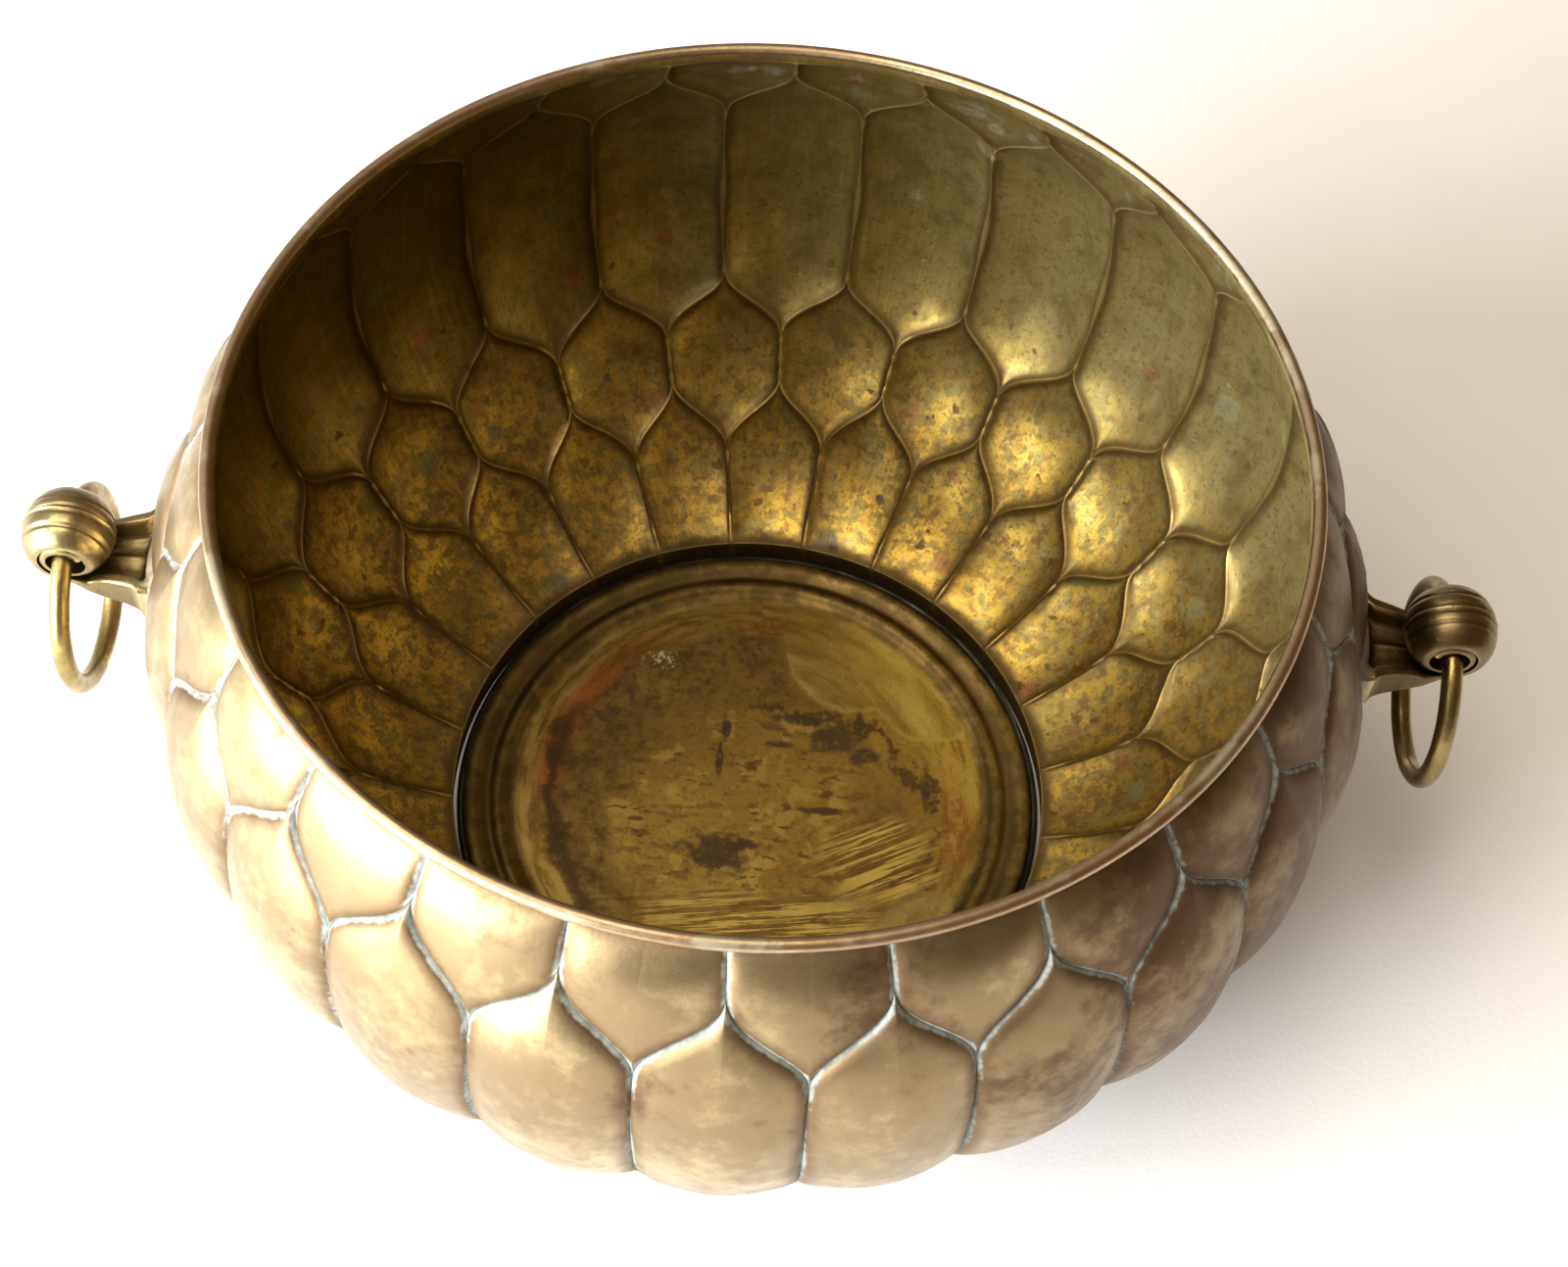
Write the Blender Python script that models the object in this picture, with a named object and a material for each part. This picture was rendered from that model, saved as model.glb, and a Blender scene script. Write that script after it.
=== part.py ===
# Brass planter pot: a raised and chased bowl with two cast scroll brackets and
# two loose drop rings.  Metres, Z up, origin on the table under the bowl's centre.
import bpy
import bmesh
import math
import numpy as np
from mathutils import Vector
from mathutils.bvhtree import BVHTree

for old in list(bpy.data.objects):
    bpy.data.objects.remove(old, do_unlink=True)

MM = 0.001

# ---- driving dimensions (millimetres) ----
RIM_R = 130.0            # outside radius of the rolled rim
RIM_Z = 171.0            # top of the rolled rim above the table
CELLS = 24               # scales round the bowl
SHEET = 0.8              # brass sheet of the bowl
BEAD_R = 1.7             # outside radius of the rolled edge
WIRE_R = 0.6             # wire inside the rolled edge
NECK_R = RIM_R - 2 * BEAD_R + SHEET      # outside of the plain neck under the roll
COLLAR_R = 84.6          # outside radius of the foot collar
COLLAR_FLARE = 0.8       # the collar spreads this much at the table
BULGE = 4.6              # height of the tallest scale above its grooves
OGEE = 0.8               # how strongly the scale edges bend into an S
GAP = 0.3                # air between touching pieces

# groove line of the bowl's outside, as radius and height, from rim to foot
PROFILE = ((NECK_R, 167.0), (134.7, 156.0), (144.6, 132.0), (147.9, 106.0),
           (144.7, 80.0), (131.7, 51.1), (108.3, 24.1), (COLLAR_R, 8.8))
# heights of the four scale rows' edges on the A columns and on the B columns
FOOT_Z = 8.8
ROW_EDGES = ((FOOT_Z, FOOT_Z), (24.1, 40.5), (69.2, 51.1), (132.0, 156.0), (167.0, 167.0))
ROW_STEPS = (2, 3, 4, 3)
SIDE_ON_A = (True, False, True, False)
HALF_STEPS = 2           # mesh steps from an A column to the next B column

# handle: the scroll's axis, its size and the ring that hangs from it
AXIS_R = 173.8
AXIS_Z = 111.8
SCROLL_R = 11.5
SCROLL_HALF = 9.4
STRIP = 2.4
INNER_R = 8.3
RING_R = 25.0
RING_WIRE = 2.6
RING_SIT = 0.95          # the ring's highest point sits this far above the scroll's axis
SCREW_Z = -13.3          # screw height below the scroll's axis
SCREW_R = 2.0
SCREW_DEPTH = 8.0
HEAD_R = 3.9
WASHER_R = 5.0
PAD_GAP = 0.7            # air between the bowl's facets and the bracket's pad
PAD_ROWS = 5


def material(name, colour, rough):
    mat = bpy.data.materials.new(name)
    mat.use_nodes = True
    bsdf = mat.node_tree.nodes["Principled BSDF"]
    bsdf.inputs["Base Color"].default_value = colour
    bsdf.inputs["Metallic"].default_value = 1.0
    bsdf.inputs["Roughness"].default_value = rough
    return mat


def add_object(name, verts, faces, colour, rough, smooth=30.0, origin=(0, 0, 0), turn=0.0):
    mesh = bpy.data.meshes.new(name)
    mesh.from_pydata([tuple(c * MM for c in v) for v in verts], [], faces)
    bm = bmesh.new()
    bm.from_mesh(mesh)
    bmesh.ops.remove_doubles(bm, verts=bm.verts, dist=0.000001)
    bmesh.ops.recalc_face_normals(bm, faces=bm.faces)
    bm.to_mesh(mesh)
    bm.free()
    obj = bpy.data.objects.new(name, mesh)
    bpy.context.scene.collection.objects.link(obj)
    obj.location = tuple(c * MM for c in origin)
    obj.rotation_euler = (0.0, 0.0, turn)
    mesh.materials.append(material(name + "_metal", colour, rough))
    mesh.shade_smooth()
    mesh.set_sharp_from_angle(angle=math.radians(smooth))
    return obj


def revolve(outline, steps, axis="Z"):
    """Closed outline of (radius, height) turned into a full ring."""
    verts = []
    faces = []
    count = len(outline)
    for i in range(steps):
        a = 2 * math.pi * i / steps
        for r, h in outline:
            if axis == "Z":
                verts.append((r * math.cos(a), r * math.sin(a), h))
            else:
                verts.append((h, r * math.cos(a), r * math.sin(a)))
    for i in range(steps):
        n = (i + 1) % steps
        for j in range(count):
            k = (j + 1) % count
            faces.append((i * count + j, n * count + j, n * count + k, i * count + k))
    return verts, faces


# ---- the bowl's surface: a natural spline through the profile points ----
def spline(points, steps=24):
    pts = [Vector(p) for p in points]
    pts = [pts[0] * 2 - pts[1]] + pts + [pts[-1] * 2 - pts[-2]]
    out = []
    for i in range(1, len(pts) - 2):
        for s in range(steps):
            t = s / steps
            a, b, c, d = pts[i - 1], pts[i], pts[i + 1], pts[i + 2]
            out.append(0.5 * ((2 * b) + (c - a) * t + (2 * a - 5 * b + 4 * c - d) * t * t
                              + (3 * b - a - 3 * c + d) * t ** 3))
    out.append(pts[-2])
    return out


curve = spline(PROFILE)
CURVE_R = np.array([p.x for p in curve])
CURVE_Z = np.array([p.y for p in curve])


def radius_at(z):
    return np.interp(z, CURVE_Z[::-1], CURVE_R[::-1])


def ogee(t):
    return (1 - OGEE) * t + OGEE * (3 * t * t - 2 * t ** 3)


# half a pitch of the lattice: column 0 is an A column, the last is a B column
half = np.arange(HALF_STEPS + 1) / HALF_STEPS
turn_half = ogee(half) * math.pi / CELLS
levels = []
groove = []
for row, steps in enumerate(ROW_STEPS):
    low, high = ROW_EDGES[row], ROW_EDGES[row + 1]
    for s in range(steps + (1 if row == 3 else 0)):
        f = s / steps
        z0 = low[0] + (low[1] - low[0]) * half
        z1 = high[0] + (high[1] - high[0]) * half
        levels.append(z0 + (z1 - z0) * f)
        on_edge = np.zeros(HALF_STEPS + 1, dtype=bool)
        if s in (0, steps):
            on_edge[:] = True
        on_edge[0 if SIDE_ON_A[row] else -1] = True
        groove.append(on_edge)
levels = np.array(levels)
groove = np.array(groove)
rows = len(levels)
cols = HALF_STEPS + 1

# the scales swell like a sheet pressed up between the grooves
radii = radius_at(levels)
flat = np.stack([radii * np.cos(turn_half), radii * np.sin(turn_half), levels], -1).reshape(-1, 3)
stiff = np.zeros((rows * cols, rows * cols))
load = np.zeros(rows * cols)
for j in range(rows - 1):
    for i in range(cols - 1):
        a, b = j * cols + i, j * cols + i + 1
        c, d = a + cols, b + cols
        for tri in ((a, b, d), (a, d, c)):
            p = flat[list(tri)]
            area = 0.5 * np.linalg.norm(np.cross(p[1] - p[0], p[2] - p[0]))
            for k in range(3):
                m, n, o = tri[k], tri[(k + 1) % 3], tri[(k + 2) % 3]
                u = flat[n] - flat[m]
                v = flat[o] - flat[m]
                cot = np.dot(u, v) / np.linalg.norm(np.cross(u, v))
                stiff[n, n] += cot / 2
                stiff[o, o] += cot / 2
                stiff[n, o] -= cot / 2
                stiff[o, n] -= cot / 2
                load[m] += area / 3
free = ~groove.reshape(-1)
swell = np.zeros(rows * cols)
swell[free] = np.linalg.solve(stiff[np.ix_(free, free)], load[free])
swell = np.maximum(swell, 0) ** 0.8
swell = (swell / swell.max() * BULGE).reshape(rows, cols)

# profile normals push the scales outward
slope = np.gradient(CURVE_R, CURVE_Z)
normal_r = 1 / np.sqrt(1 + slope ** 2)
normal_z = -slope / np.sqrt(1 + slope ** 2)
out_r = np.interp(levels, CURVE_Z[::-1], normal_r[::-1])
out_z = np.interp(levels, CURVE_Z[::-1], normal_z[::-1])
skin_r = radii + swell * out_r
skin_z = levels + swell * out_z

# mirror the half pitch round the bowl; a B column faces each handle
around = CELLS * 2 * HALF_STEPS
outer = np.zeros((rows, around, 3))
for n in range(around):
    cell, k = divmod(n, 2 * HALF_STEPS)
    if k <= HALF_STEPS:
        col, angle = k, turn_half[k]
    else:
        col, angle = 2 * HALF_STEPS - k, 2 * math.pi / CELLS - turn_half[2 * HALF_STEPS - k]
    angle += (cell + 0.5) * 2 * math.pi / CELLS
    outer[:, n, 0] = skin_r[:, col] * math.cos(angle)
    outer[:, n, 1] = skin_r[:, col] * math.sin(angle)
    outer[:, n, 2] = skin_z[:, col]

# inside skin: the outside moved in by the sheet's thickness
du = np.roll(outer, -1, 1) - np.roll(outer, 1, 1)
dv = np.gradient(outer, axis=0)
normals = np.cross(du, dv)
normals /= np.linalg.norm(normals, axis=2, keepdims=True)
inner = outer - SHEET * normals
angles = np.arctan2(outer[:, :, 1], outer[:, :, 0])

roll_z = RIM_Z - BEAD_R
roll_r = RIM_R - BEAD_R


def circle_row(r, z):
    a = angles[0]
    return np.stack([r * np.cos(a), r * np.sin(a), np.full(around, z)], -1)


loops = list(inner)
loops[0] = circle_row(COLLAR_R - SHEET, FOOT_Z + 0.6)
loops[-1] = circle_row(NECK_R - SHEET, ROW_EDGES[-1][0])
ROLL = [math.radians(180 - 41 * d) for d in range(8)]
for a in ROLL:
    loops.append(circle_row(roll_r + BEAD_R * math.cos(a), roll_z + BEAD_R * math.sin(a)))
for a in reversed(ROLL):
    k = BEAD_R - SHEET
    loops.append(circle_row(roll_r + k * math.cos(a), roll_z + k * math.sin(a)))
outer_loops = list(outer)
outer_loops[0] = circle_row(COLLAR_R, FOOT_Z)
loops += outer_loops[::-1]
loops.append(circle_row(COLLAR_R + COLLAR_FLARE, 0.0))
loops.append(circle_row(COLLAR_R + COLLAR_FLARE - SHEET, 0.0))
verts = [tuple(v) for loop in loops for v in loop]
faces = []
for j in range(len(loops)):
    k = (j + 1) % len(loops)
    for i in range(around):
        n = (i + 1) % around
        a, b, c, d = j * around + i, j * around + n, k * around + n, k * around + i
        # the two halves of every scale are split as mirror images
        if i % (2 * HALF_STEPS) < HALF_STEPS:
            faces += [(a, b, c), (a, c, d)]
        else:
            faces += [(a, b, d), (b, c, d)]
bowl = add_object("bowl_shell", verts, faces, (0.50, 0.36, 0.13, 1), 0.32, 24.0)

# surface lookup for everything that seats on the bowl
probe = bmesh.new()
probe.from_mesh(bowl.data)
tree = BVHTree.FromBMesh(probe)
probe.free()


def wall(y, z, outside=True):
    """Distance from the bowl's axis plane to its wall, looking along X."""
    start = 400.0 if outside else 60.0
    way = -1.0 if outside else 1.0
    hit = tree.ray_cast(Vector((start * MM, y * MM, z * MM)), Vector((way, 0, 0)))
    return hit[0].x / MM


# screw holes through the wall, one behind each handle
for side in (1, -1):
    bpy.ops.mesh.primitive_cylinder_add(vertices=16, radius=(SCREW_R + GAP) * MM, depth=14 * MM,
                                        location=(side * 152 * MM, 0, (AXIS_Z + SCREW_Z) * MM),
                                        rotation=(0, math.pi / 2, 0))
    cutter = bpy.context.object
    cutter.display_type = "WIRE"
    cutter.hide_render = True
    cut = bowl.modifiers.new("screw_hole", "BOOLEAN")
    cut.operation = "DIFFERENCE"
    cut.solver = "EXACT"
    cut.object = cutter
    bpy.context.view_layer.objects.active = bowl
    bpy.ops.object.modifier_apply(modifier=cut.name)
    bpy.data.objects.remove(cutter, do_unlink=True)
bowl.data.set_sharp_from_angle(angle=math.radians(24))

# ---- wire inside the rolled rim ----
tube = [(roll_r + WIRE_R * math.cos(t), roll_z + WIRE_R * math.sin(t))
        for t in [2 * math.pi * k / 6 for k in range(6)]]
v, f = revolve(tube, 96)
add_object("rim_wire", v, f, (0.42, 0.40, 0.38, 1), 0.5, 60)

# ---- base dish: pressed floor with a stepped lip and a flange inside the collar ----
TOP = [(81.8, 0.9), (81.8, 3.9), (81.2, 5.0), (79.6, 5.5), (77.2, 5.1), (75.2, 4.2), (74.0, 4.2),
       (72.6, 5.0), (70.8, 5.0), (69.2, 4.1), (67.6, 3.6)]
outline = [(83.5, 0.0), (83.5, 0.9)] + TOP
under = [(67.3, 2.7), (69.6, 3.3), (74.6, 3.2), (77.8, 4.3), (80.4, 4.2), (80.9, 3.5), (80.9, 0.0)]
steps = 72
verts = []
faces = []
count = len(outline) + len(under)
ring_pts = outline + under
for i in range(steps):
    a = 2 * math.pi * i / steps
    for r, h in ring_pts:
        verts.append((r * math.cos(a), r * math.sin(a), h))
for i in range(steps):
    n = (i + 1) % steps
    for j in range(count):
        k = (j + 1) % count
        if j == len(outline) - 1:
            continue
        faces.append((i * count + j, n * count + j, n * count + k, i * count + k))
centre_top = len(verts)
verts.append((0, 0, 3.6))
centre_low = len(verts)
verts.append((0, 0, 2.7))
for i in range(steps):
    n = (i + 1) % steps
    faces.append((i * count + len(outline) - 1, n * count + len(outline) - 1, centre_top))
    faces.append((n * count + len(outline), i * count + len(outline), centre_low))
add_object("base_dish", verts, faces, (0.52, 0.38, 0.12, 1), 0.35, 24.0)

# ---- solder run that closes the joint between collar and dish ----
seam = [(82.1, 1.2), (83.4, 1.2), (83.4, 2.8), (82.4, 1.9), (82.1, 1.9)]
v, f = revolve(seam, 72)
add_object("base_seam_solder", v, f, (0.45, 0.45, 0.44, 1), 0.55, 40)

# ---- brackets: one thick leaf arm that rolls up into a scroll ----
ACROSS = (-1.0, -0.8, -0.5, -0.25, 0.0, 0.25, 0.5, 0.8, 1.0)
# station: x from the scroll axis, underside z, channel floor z, side wall top z, half width
ARM = ((-18.9, -17.2, -8.0, -3.9, 13.6),
       (-17.2, -16.4, -9.2, -4.2, 12.0),
       (-13.5, -15.6, -9.5, -4.7, 10.9),
       (-9.0, -14.9, -9.9, -5.8, 10.0),
       (-5.0, -13.5, -10.4, -7.6, 9.6))


def barrel(u):
    return math.sqrt(1 - 0.51 * u * u)


def bracket_mesh():
    sections = []
    # root: an oval pad that follows the bowl's wall
    for lift in (0.0, 2.0):
        low = []
        high = []
        for u in ACROSS:
            y = 14.6 * u
            zl = -18.2 + 4.6 * u ** 4
            zh = -3.4 - 1.6 * u ** 4
            for z, side in ((zl, low), (zh, high)):
                x = wall(y, AXIS_Z + z) + PAD_GAP + lift - AXIS_R
                side.append((x, y * (1 - 0.03 * lift), z))
        sections.append(low + high[::-1])
    for x, zb, zf, ze, w in ARM:
        low = []
        high = []
        for u in ACROSS:
            low.append((x, w * u, zb + 1.6 * abs(u) ** 6))
            edge = min(1.0, max(0.0, (abs(u) - 0.55) / 0.25))
            high.append((x, w * (u if abs(u) < 0.99 else u * 0.985),
                         zf + (ze - zf) * edge - 0.5 * (abs(u) == 0.5) + 0.3 * (u == 0)))
        sections.append(low + high[::-1])
    wrap = [(t, SCROLL_R) for t in range(0, 271, 30)]
    wrap += [(300, 10.5), (330, 9.3), (360, INNER_R)]
    wrap += [(t, INNER_R) for t in range(396, 620, 36)]
    for deg, rho in wrap:
        t = math.radians(deg)
        low = []
        high = []
        for u in ACROSS:
            s = barrel(u)
            low.append((rho * s * math.sin(t), SCROLL_HALF * u, -rho * s * math.cos(t)))
            k = (rho - STRIP) * s
            high.append((k * math.sin(t), SCROLL_HALF * u, -k * math.cos(t)))
        sections.append(low + high[::-1])
    n = len(sections[0])
    pts = [p for s in sections for p in s]
    quads = []
    for i in range(len(sections) - 1):
        for j in range(n):
            k = (j + 1) % n
            quads.append((i * n + j, i * n + k, (i + 1) * n + k, (i + 1) * n + j))
    m = len(ACROSS)
    base = (len(sections) - 1) * n
    for j in range(m - 1):
        quads.append((base + j, base + j + 1, base + n - 2 - j, base + n - 1 - j))
    # the pad's back is a grid that lies on the wall
    lines = []
    for j, u in enumerate(ACROSS[1:-1], 1):
        low, high = pts[j], pts[n - 1 - j]
        line = [j]
        for s in range(1, PAD_ROWS):
            y = low[1]
            z = low[2] + (high[2] - low[2]) * s / PAD_ROWS
            line.append(len(pts))
            pts.append((wall(y, AXIS_Z + z) + PAD_GAP - AXIS_R, y, z))
        line.append(n - 1 - j)
        lines.append(line)
    for j in range(len(lines) - 1):
        for s in range(PAD_ROWS):
            quads.append((lines[j][s], lines[j][s + 1], lines[j + 1][s + 1], lines[j + 1][s]))
    for line, low, high in ((lines[0], 0, n - 1), (lines[-1], m - 1, n - m)):
        middle = PAD_ROWS // 2
        for s in range(PAD_ROWS):
            quads.append((low if s < middle else high, line[s], line[s + 1]))
        quads.append((low, line[middle], high))
    return pts, quads


for side, name in ((1, "right"), (-1, "left")):
    turn = 0.0 if side == 1 else math.pi
    pts, quads = bracket_mesh()
    bracket = add_object("bracket_" + name, pts, quads, (0.44, 0.34, 0.15, 1), 0.36, 40,
                         (side * AXIS_R, 0, AXIS_Z), turn)
    # blind hole for the screw, cut in the arm's root
    seat = wall(0, AXIS_Z + SCREW_Z)
    depth = SCREW_DEPTH + 0.6
    bpy.ops.mesh.primitive_cylinder_add(vertices=16, radius=(SCREW_R + GAP) * MM,
                                        depth=(depth + 4) * MM,
                                        location=(side * (seat + (depth - 4) / 2) * MM, 0,
                                                  (AXIS_Z + SCREW_Z) * MM),
                                        rotation=(0, math.pi / 2, 0))
    cutter = bpy.context.object
    cutter.display_type = "WIRE"
    cutter.hide_render = True
    cut = bracket.modifiers.new("screw_hole", "BOOLEAN")
    cut.operation = "DIFFERENCE"
    cut.solver = "EXACT"
    cut.object = cutter
    bpy.context.view_layer.objects.active = bracket
    bpy.ops.object.modifier_apply(modifier=cut.name)
    bpy.data.objects.remove(cutter, do_unlink=True)
    bracket.data.set_sharp_from_angle(angle=math.radians(40))

    # washer and round-head screw on the inside of the wall
    face = min(wall(y, AXIS_Z + SCREW_Z + z, False) for y, z in
               ((3, 0), (-3, 0), (0, 3), (0, -3), (WASHER_R, 0), (-WASHER_R, 0),
                (0, WASHER_R), (0, -WASHER_R)))
    seat_in = face - GAP - AXIS_R
    washer = [(SCREW_R + GAP, seat_in), (WASHER_R, seat_in), (WASHER_R, seat_in - 0.8),
              (SCREW_R + GAP, seat_in - 0.8)]
    v, f = revolve(washer, 20, "X")
    v = [(a, b, c + SCREW_Z) for a, b, c in v]
    add_object("washer_" + name, v, f, (0.50, 0.40, 0.20, 1), 0.4, 30,
               (side * AXIS_R, 0, AXIS_Z), turn)
    head = seat_in - 0.8 - GAP
    tip = seat + SCREW_DEPTH - AXIS_R
    shape = [(0, tip), (SCREW_R, tip), (SCREW_R, head), (HEAD_R, head), (HEAD_R * 0.9, head - 1.3),
             (HEAD_R * 0.55, head - 2.2), (0, head - 2.5)]
    v = []
    f = []
    steps = 16
    v.append((shape[0][1], 0, 0))
    for r, h in shape[1:-1]:
        for i in range(steps):
            a = 2 * math.pi * i / steps
            v.append((h, r * math.cos(a), r * math.sin(a)))
    v.append((shape[-1][1], 0, 0))
    last = len(v) - 1
    for i in range(steps):
        n = (i + 1) % steps
        f.append((0, 1 + i, 1 + n))
        for j in range(len(shape) - 3):
            f.append((1 + j * steps + i, 1 + (j + 1) * steps + i,
                      1 + (j + 1) * steps + n, 1 + j * steps + n))
        f.append((last, last - steps + n, last - steps + i))
    v = [(a, b, c + SCREW_Z) for a, b, c in v]
    add_object("screw_" + name, v, f, (0.52, 0.42, 0.20, 1), 0.35, 30,
               (side * AXIS_R, 0, AXIS_Z), turn)

    # drop ring: round wire bent to a ring, hanging through the scroll
    v = []
    f = []
    major, minor = 40, 10
    for i in range(major):
        a = 2 * math.pi * i / major
        for j in range(minor):
            b = 2 * math.pi * j / minor
            r = RING_R + RING_WIRE * math.cos(b)
            v.append((RING_WIRE * math.sin(b), r * math.sin(a),
                      RING_SIT - RING_R + r * math.cos(a)))
    for i in range(major):
        for j in range(minor):
            f.append((i * minor + j, ((i + 1) % major) * minor + j,
                      ((i + 1) % major) * minor + (j + 1) % minor, i * minor + (j + 1) % minor))
    add_object("ring_" + name, v, f, (0.48, 0.37, 0.16, 1), 0.33, 60,
               (side * AXIS_R, 0, AXIS_Z), turn)
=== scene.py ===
import bpy
import bmesh
import math
import numpy as np
from mathutils import Matrix, Vector, noise
from mathutils.bvhtree import BVHTree


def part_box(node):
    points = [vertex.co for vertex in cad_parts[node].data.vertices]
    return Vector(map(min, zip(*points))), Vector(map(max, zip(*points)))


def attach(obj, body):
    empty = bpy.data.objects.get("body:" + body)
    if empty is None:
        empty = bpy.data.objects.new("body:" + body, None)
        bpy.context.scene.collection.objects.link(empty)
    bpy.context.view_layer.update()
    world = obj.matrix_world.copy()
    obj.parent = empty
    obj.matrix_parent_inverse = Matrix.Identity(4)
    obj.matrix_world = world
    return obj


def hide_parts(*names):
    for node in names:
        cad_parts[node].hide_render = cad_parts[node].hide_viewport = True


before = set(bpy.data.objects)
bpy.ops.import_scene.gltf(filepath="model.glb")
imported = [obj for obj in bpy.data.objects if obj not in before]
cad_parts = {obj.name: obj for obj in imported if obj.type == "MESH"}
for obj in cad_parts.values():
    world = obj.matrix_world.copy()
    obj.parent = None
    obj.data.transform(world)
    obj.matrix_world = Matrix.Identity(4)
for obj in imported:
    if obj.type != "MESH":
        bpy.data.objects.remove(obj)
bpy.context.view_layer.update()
MM = 0.001

# ======================================================
# Bowl.  One disc of brass sheet, 0.8 mm thick, raised to a wide belly and closed in to a
# neck.  Four rows of scales are pressed out from the inside; their outlines are then
# chased in from the outside, so they show as lines outside and as thin ribs inside.
# ======================================================
WIRE_R = 0.6
ROLL_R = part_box("rim_wire")[1].x / MM - WIRE_R          # middle of the rolled edge
ROLL_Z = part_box("rim_wire")[1].z / MM - WIRE_R
BEAD_R = 1.7                                            # outside of the rolled edge
SHEET = 0.8
NECK_R = ROLL_R - BEAD_R + SHEET
NECK_Z = 167.0
COLLAR_R = 84.6
COLLAR_FLARE = 0.8
FOOT_Z = 8.8
SCALES = 24
BULGE = 4.6
OGEE = 0.45
PINCH = 0.50
CHASE_DEPTH = 0.75
CHASE_WIDTH = 0.8
RIB_HEIGHT = 0.38
RIB_WIDTH = 0.6
FOLD_HEIGHT = 1.25
FOLD_ROUND = 1.1
HALF_STEPS = 14
ROW_STEPS = (10, 14, 20, 12)
PROFILE = ((NECK_R, NECK_Z), (134.7, 156.0), (144.6, 132.0), (147.9, 106.0),
           (144.7, 80.0), (131.7, 51.1), (108.3, 24.1), (COLLAR_R, FOOT_Z))
ROW_EDGES = ((FOOT_Z, FOOT_Z), (24.1, 40.5), (69.2, 51.1), (132.0, 156.0), (NECK_Z, NECK_Z))
SIDE_ON_A = (True, False, True, False)


def smooth_line(points, steps=24, kind=Vector):
    """A flowing line through given points, or through stations of several values."""
    pts = [kind(p) for p in points]
    pts = [pts[0] * 2 - pts[1]] + pts + [pts[-1] * 2 - pts[-2]]
    line = []
    for i in range(1, len(pts) - 2):
        a, b, c, d = pts[i - 1:i + 3]
        for s in range(steps):
            t = s / steps
            line.append(0.5 * ((2 * b) + (c - a) * t + (2 * a - 5 * b + 4 * c - d) * t * t
                               + (3 * b - a - 3 * c + d) * t ** 3))
    line.append(pts[-2])
    return line


def crowd_ends(steps):
    """Fractions from 0 to 1 that lie closest together at both ends."""
    return 0.5 - 0.5 * np.cos(np.pi * np.arange(steps + 1) / steps)


def waver(points, size, seed):
    """Smooth hand-made unevenness, between -1 and 1, at each point."""
    shift = Vector((seed * 17.3, seed * -9.1, seed * 5.7))
    flat = points.reshape(-1, 3) / size
    values = [noise.noise(Vector(p) + shift) for p in flat]
    return np.array(values).reshape(points.shape[:-1])


def make_mesh(name, verts, faces, materials, sharp=40.0, slots=None, numbers=None):
    """A smooth-shaded object from points in millimetres."""
    mesh = bpy.data.meshes.new(name)
    mesh.from_pydata((np.asarray(verts, float).reshape(-1, 3) * MM).tolist(), [], faces)
    for key, values in (numbers or {}).items():
        layer = mesh.attributes.new(key, "FLOAT", "POINT")
        layer.data.foreach_set("value", np.asarray(values, np.float32).ravel())
    for each in materials:
        mesh.materials.append(each)
    if slots is not None:
        mesh.polygons.foreach_set("material_index", slots)
    work = bmesh.new()
    work.from_mesh(mesh)
    bmesh.ops.recalc_face_normals(work, faces=work.faces)
    work.to_mesh(mesh)
    work.free()
    mesh.shade_smooth()
    mesh.set_sharp_from_angle(angle=math.radians(sharp))
    piece = bpy.data.objects.new(name, mesh)
    bpy.context.scene.collection.objects.link(piece)
    return piece


def band_faces(count, around, closed=True):
    """Four-sided faces between neighbouring loops of points; closed joins the last to the first."""
    faces = []
    for j in range(count if closed else count - 1):
        k = (j + 1) % count
        for i in range(around):
            n = (i + 1) % around
            faces.append((j * around + i, j * around + n, k * around + n, k * around + i))
    return faces


def scale_lattice():
    """Heights, turns and groove marks of half a scale's width, from foot to neck."""
    share = np.linspace(0, 1, 400)
    bow = 3 * share ** 2 - 2 * share ** 3
    pinch = 6 * share ** 5 - 15 * share ** 4 + 10 * share ** 3
    bent = (1 - OGEE - PINCH) * share + OGEE * bow + PINCH * pinch
    across = np.interp(crowd_ends(HALF_STEPS), bent, share)
    turn = crowd_ends(HALF_STEPS) * math.pi / SCALES
    heights, groove, row_of, below = [], [], [], []
    for row, steps in enumerate(ROW_STEPS):
        low = ROW_EDGES[row][0] + (ROW_EDGES[row][1] - ROW_EDGES[row][0]) * across
        high = ROW_EDGES[row + 1][0] + (ROW_EDGES[row + 1][1] - ROW_EDGES[row + 1][0]) * across
        fractions = crowd_ends(steps)
        for s in range(steps + (1 if row == 3 else 0)):
            heights.append(low + (high - low) * fractions[s])
            mark = np.zeros(HALF_STEPS + 1, dtype=bool)
            mark[:] = s in (0, steps)
            mark[0 if SIDE_ON_A[row] else -1] = True
            groove.append(mark)
            row_of.append(row)
            peak = max(ROW_EDGES[row + 1])
            below.append(peak - heights[-1])
    return turn, np.array(heights), np.array(groove), np.array(row_of), np.array(below)


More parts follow.
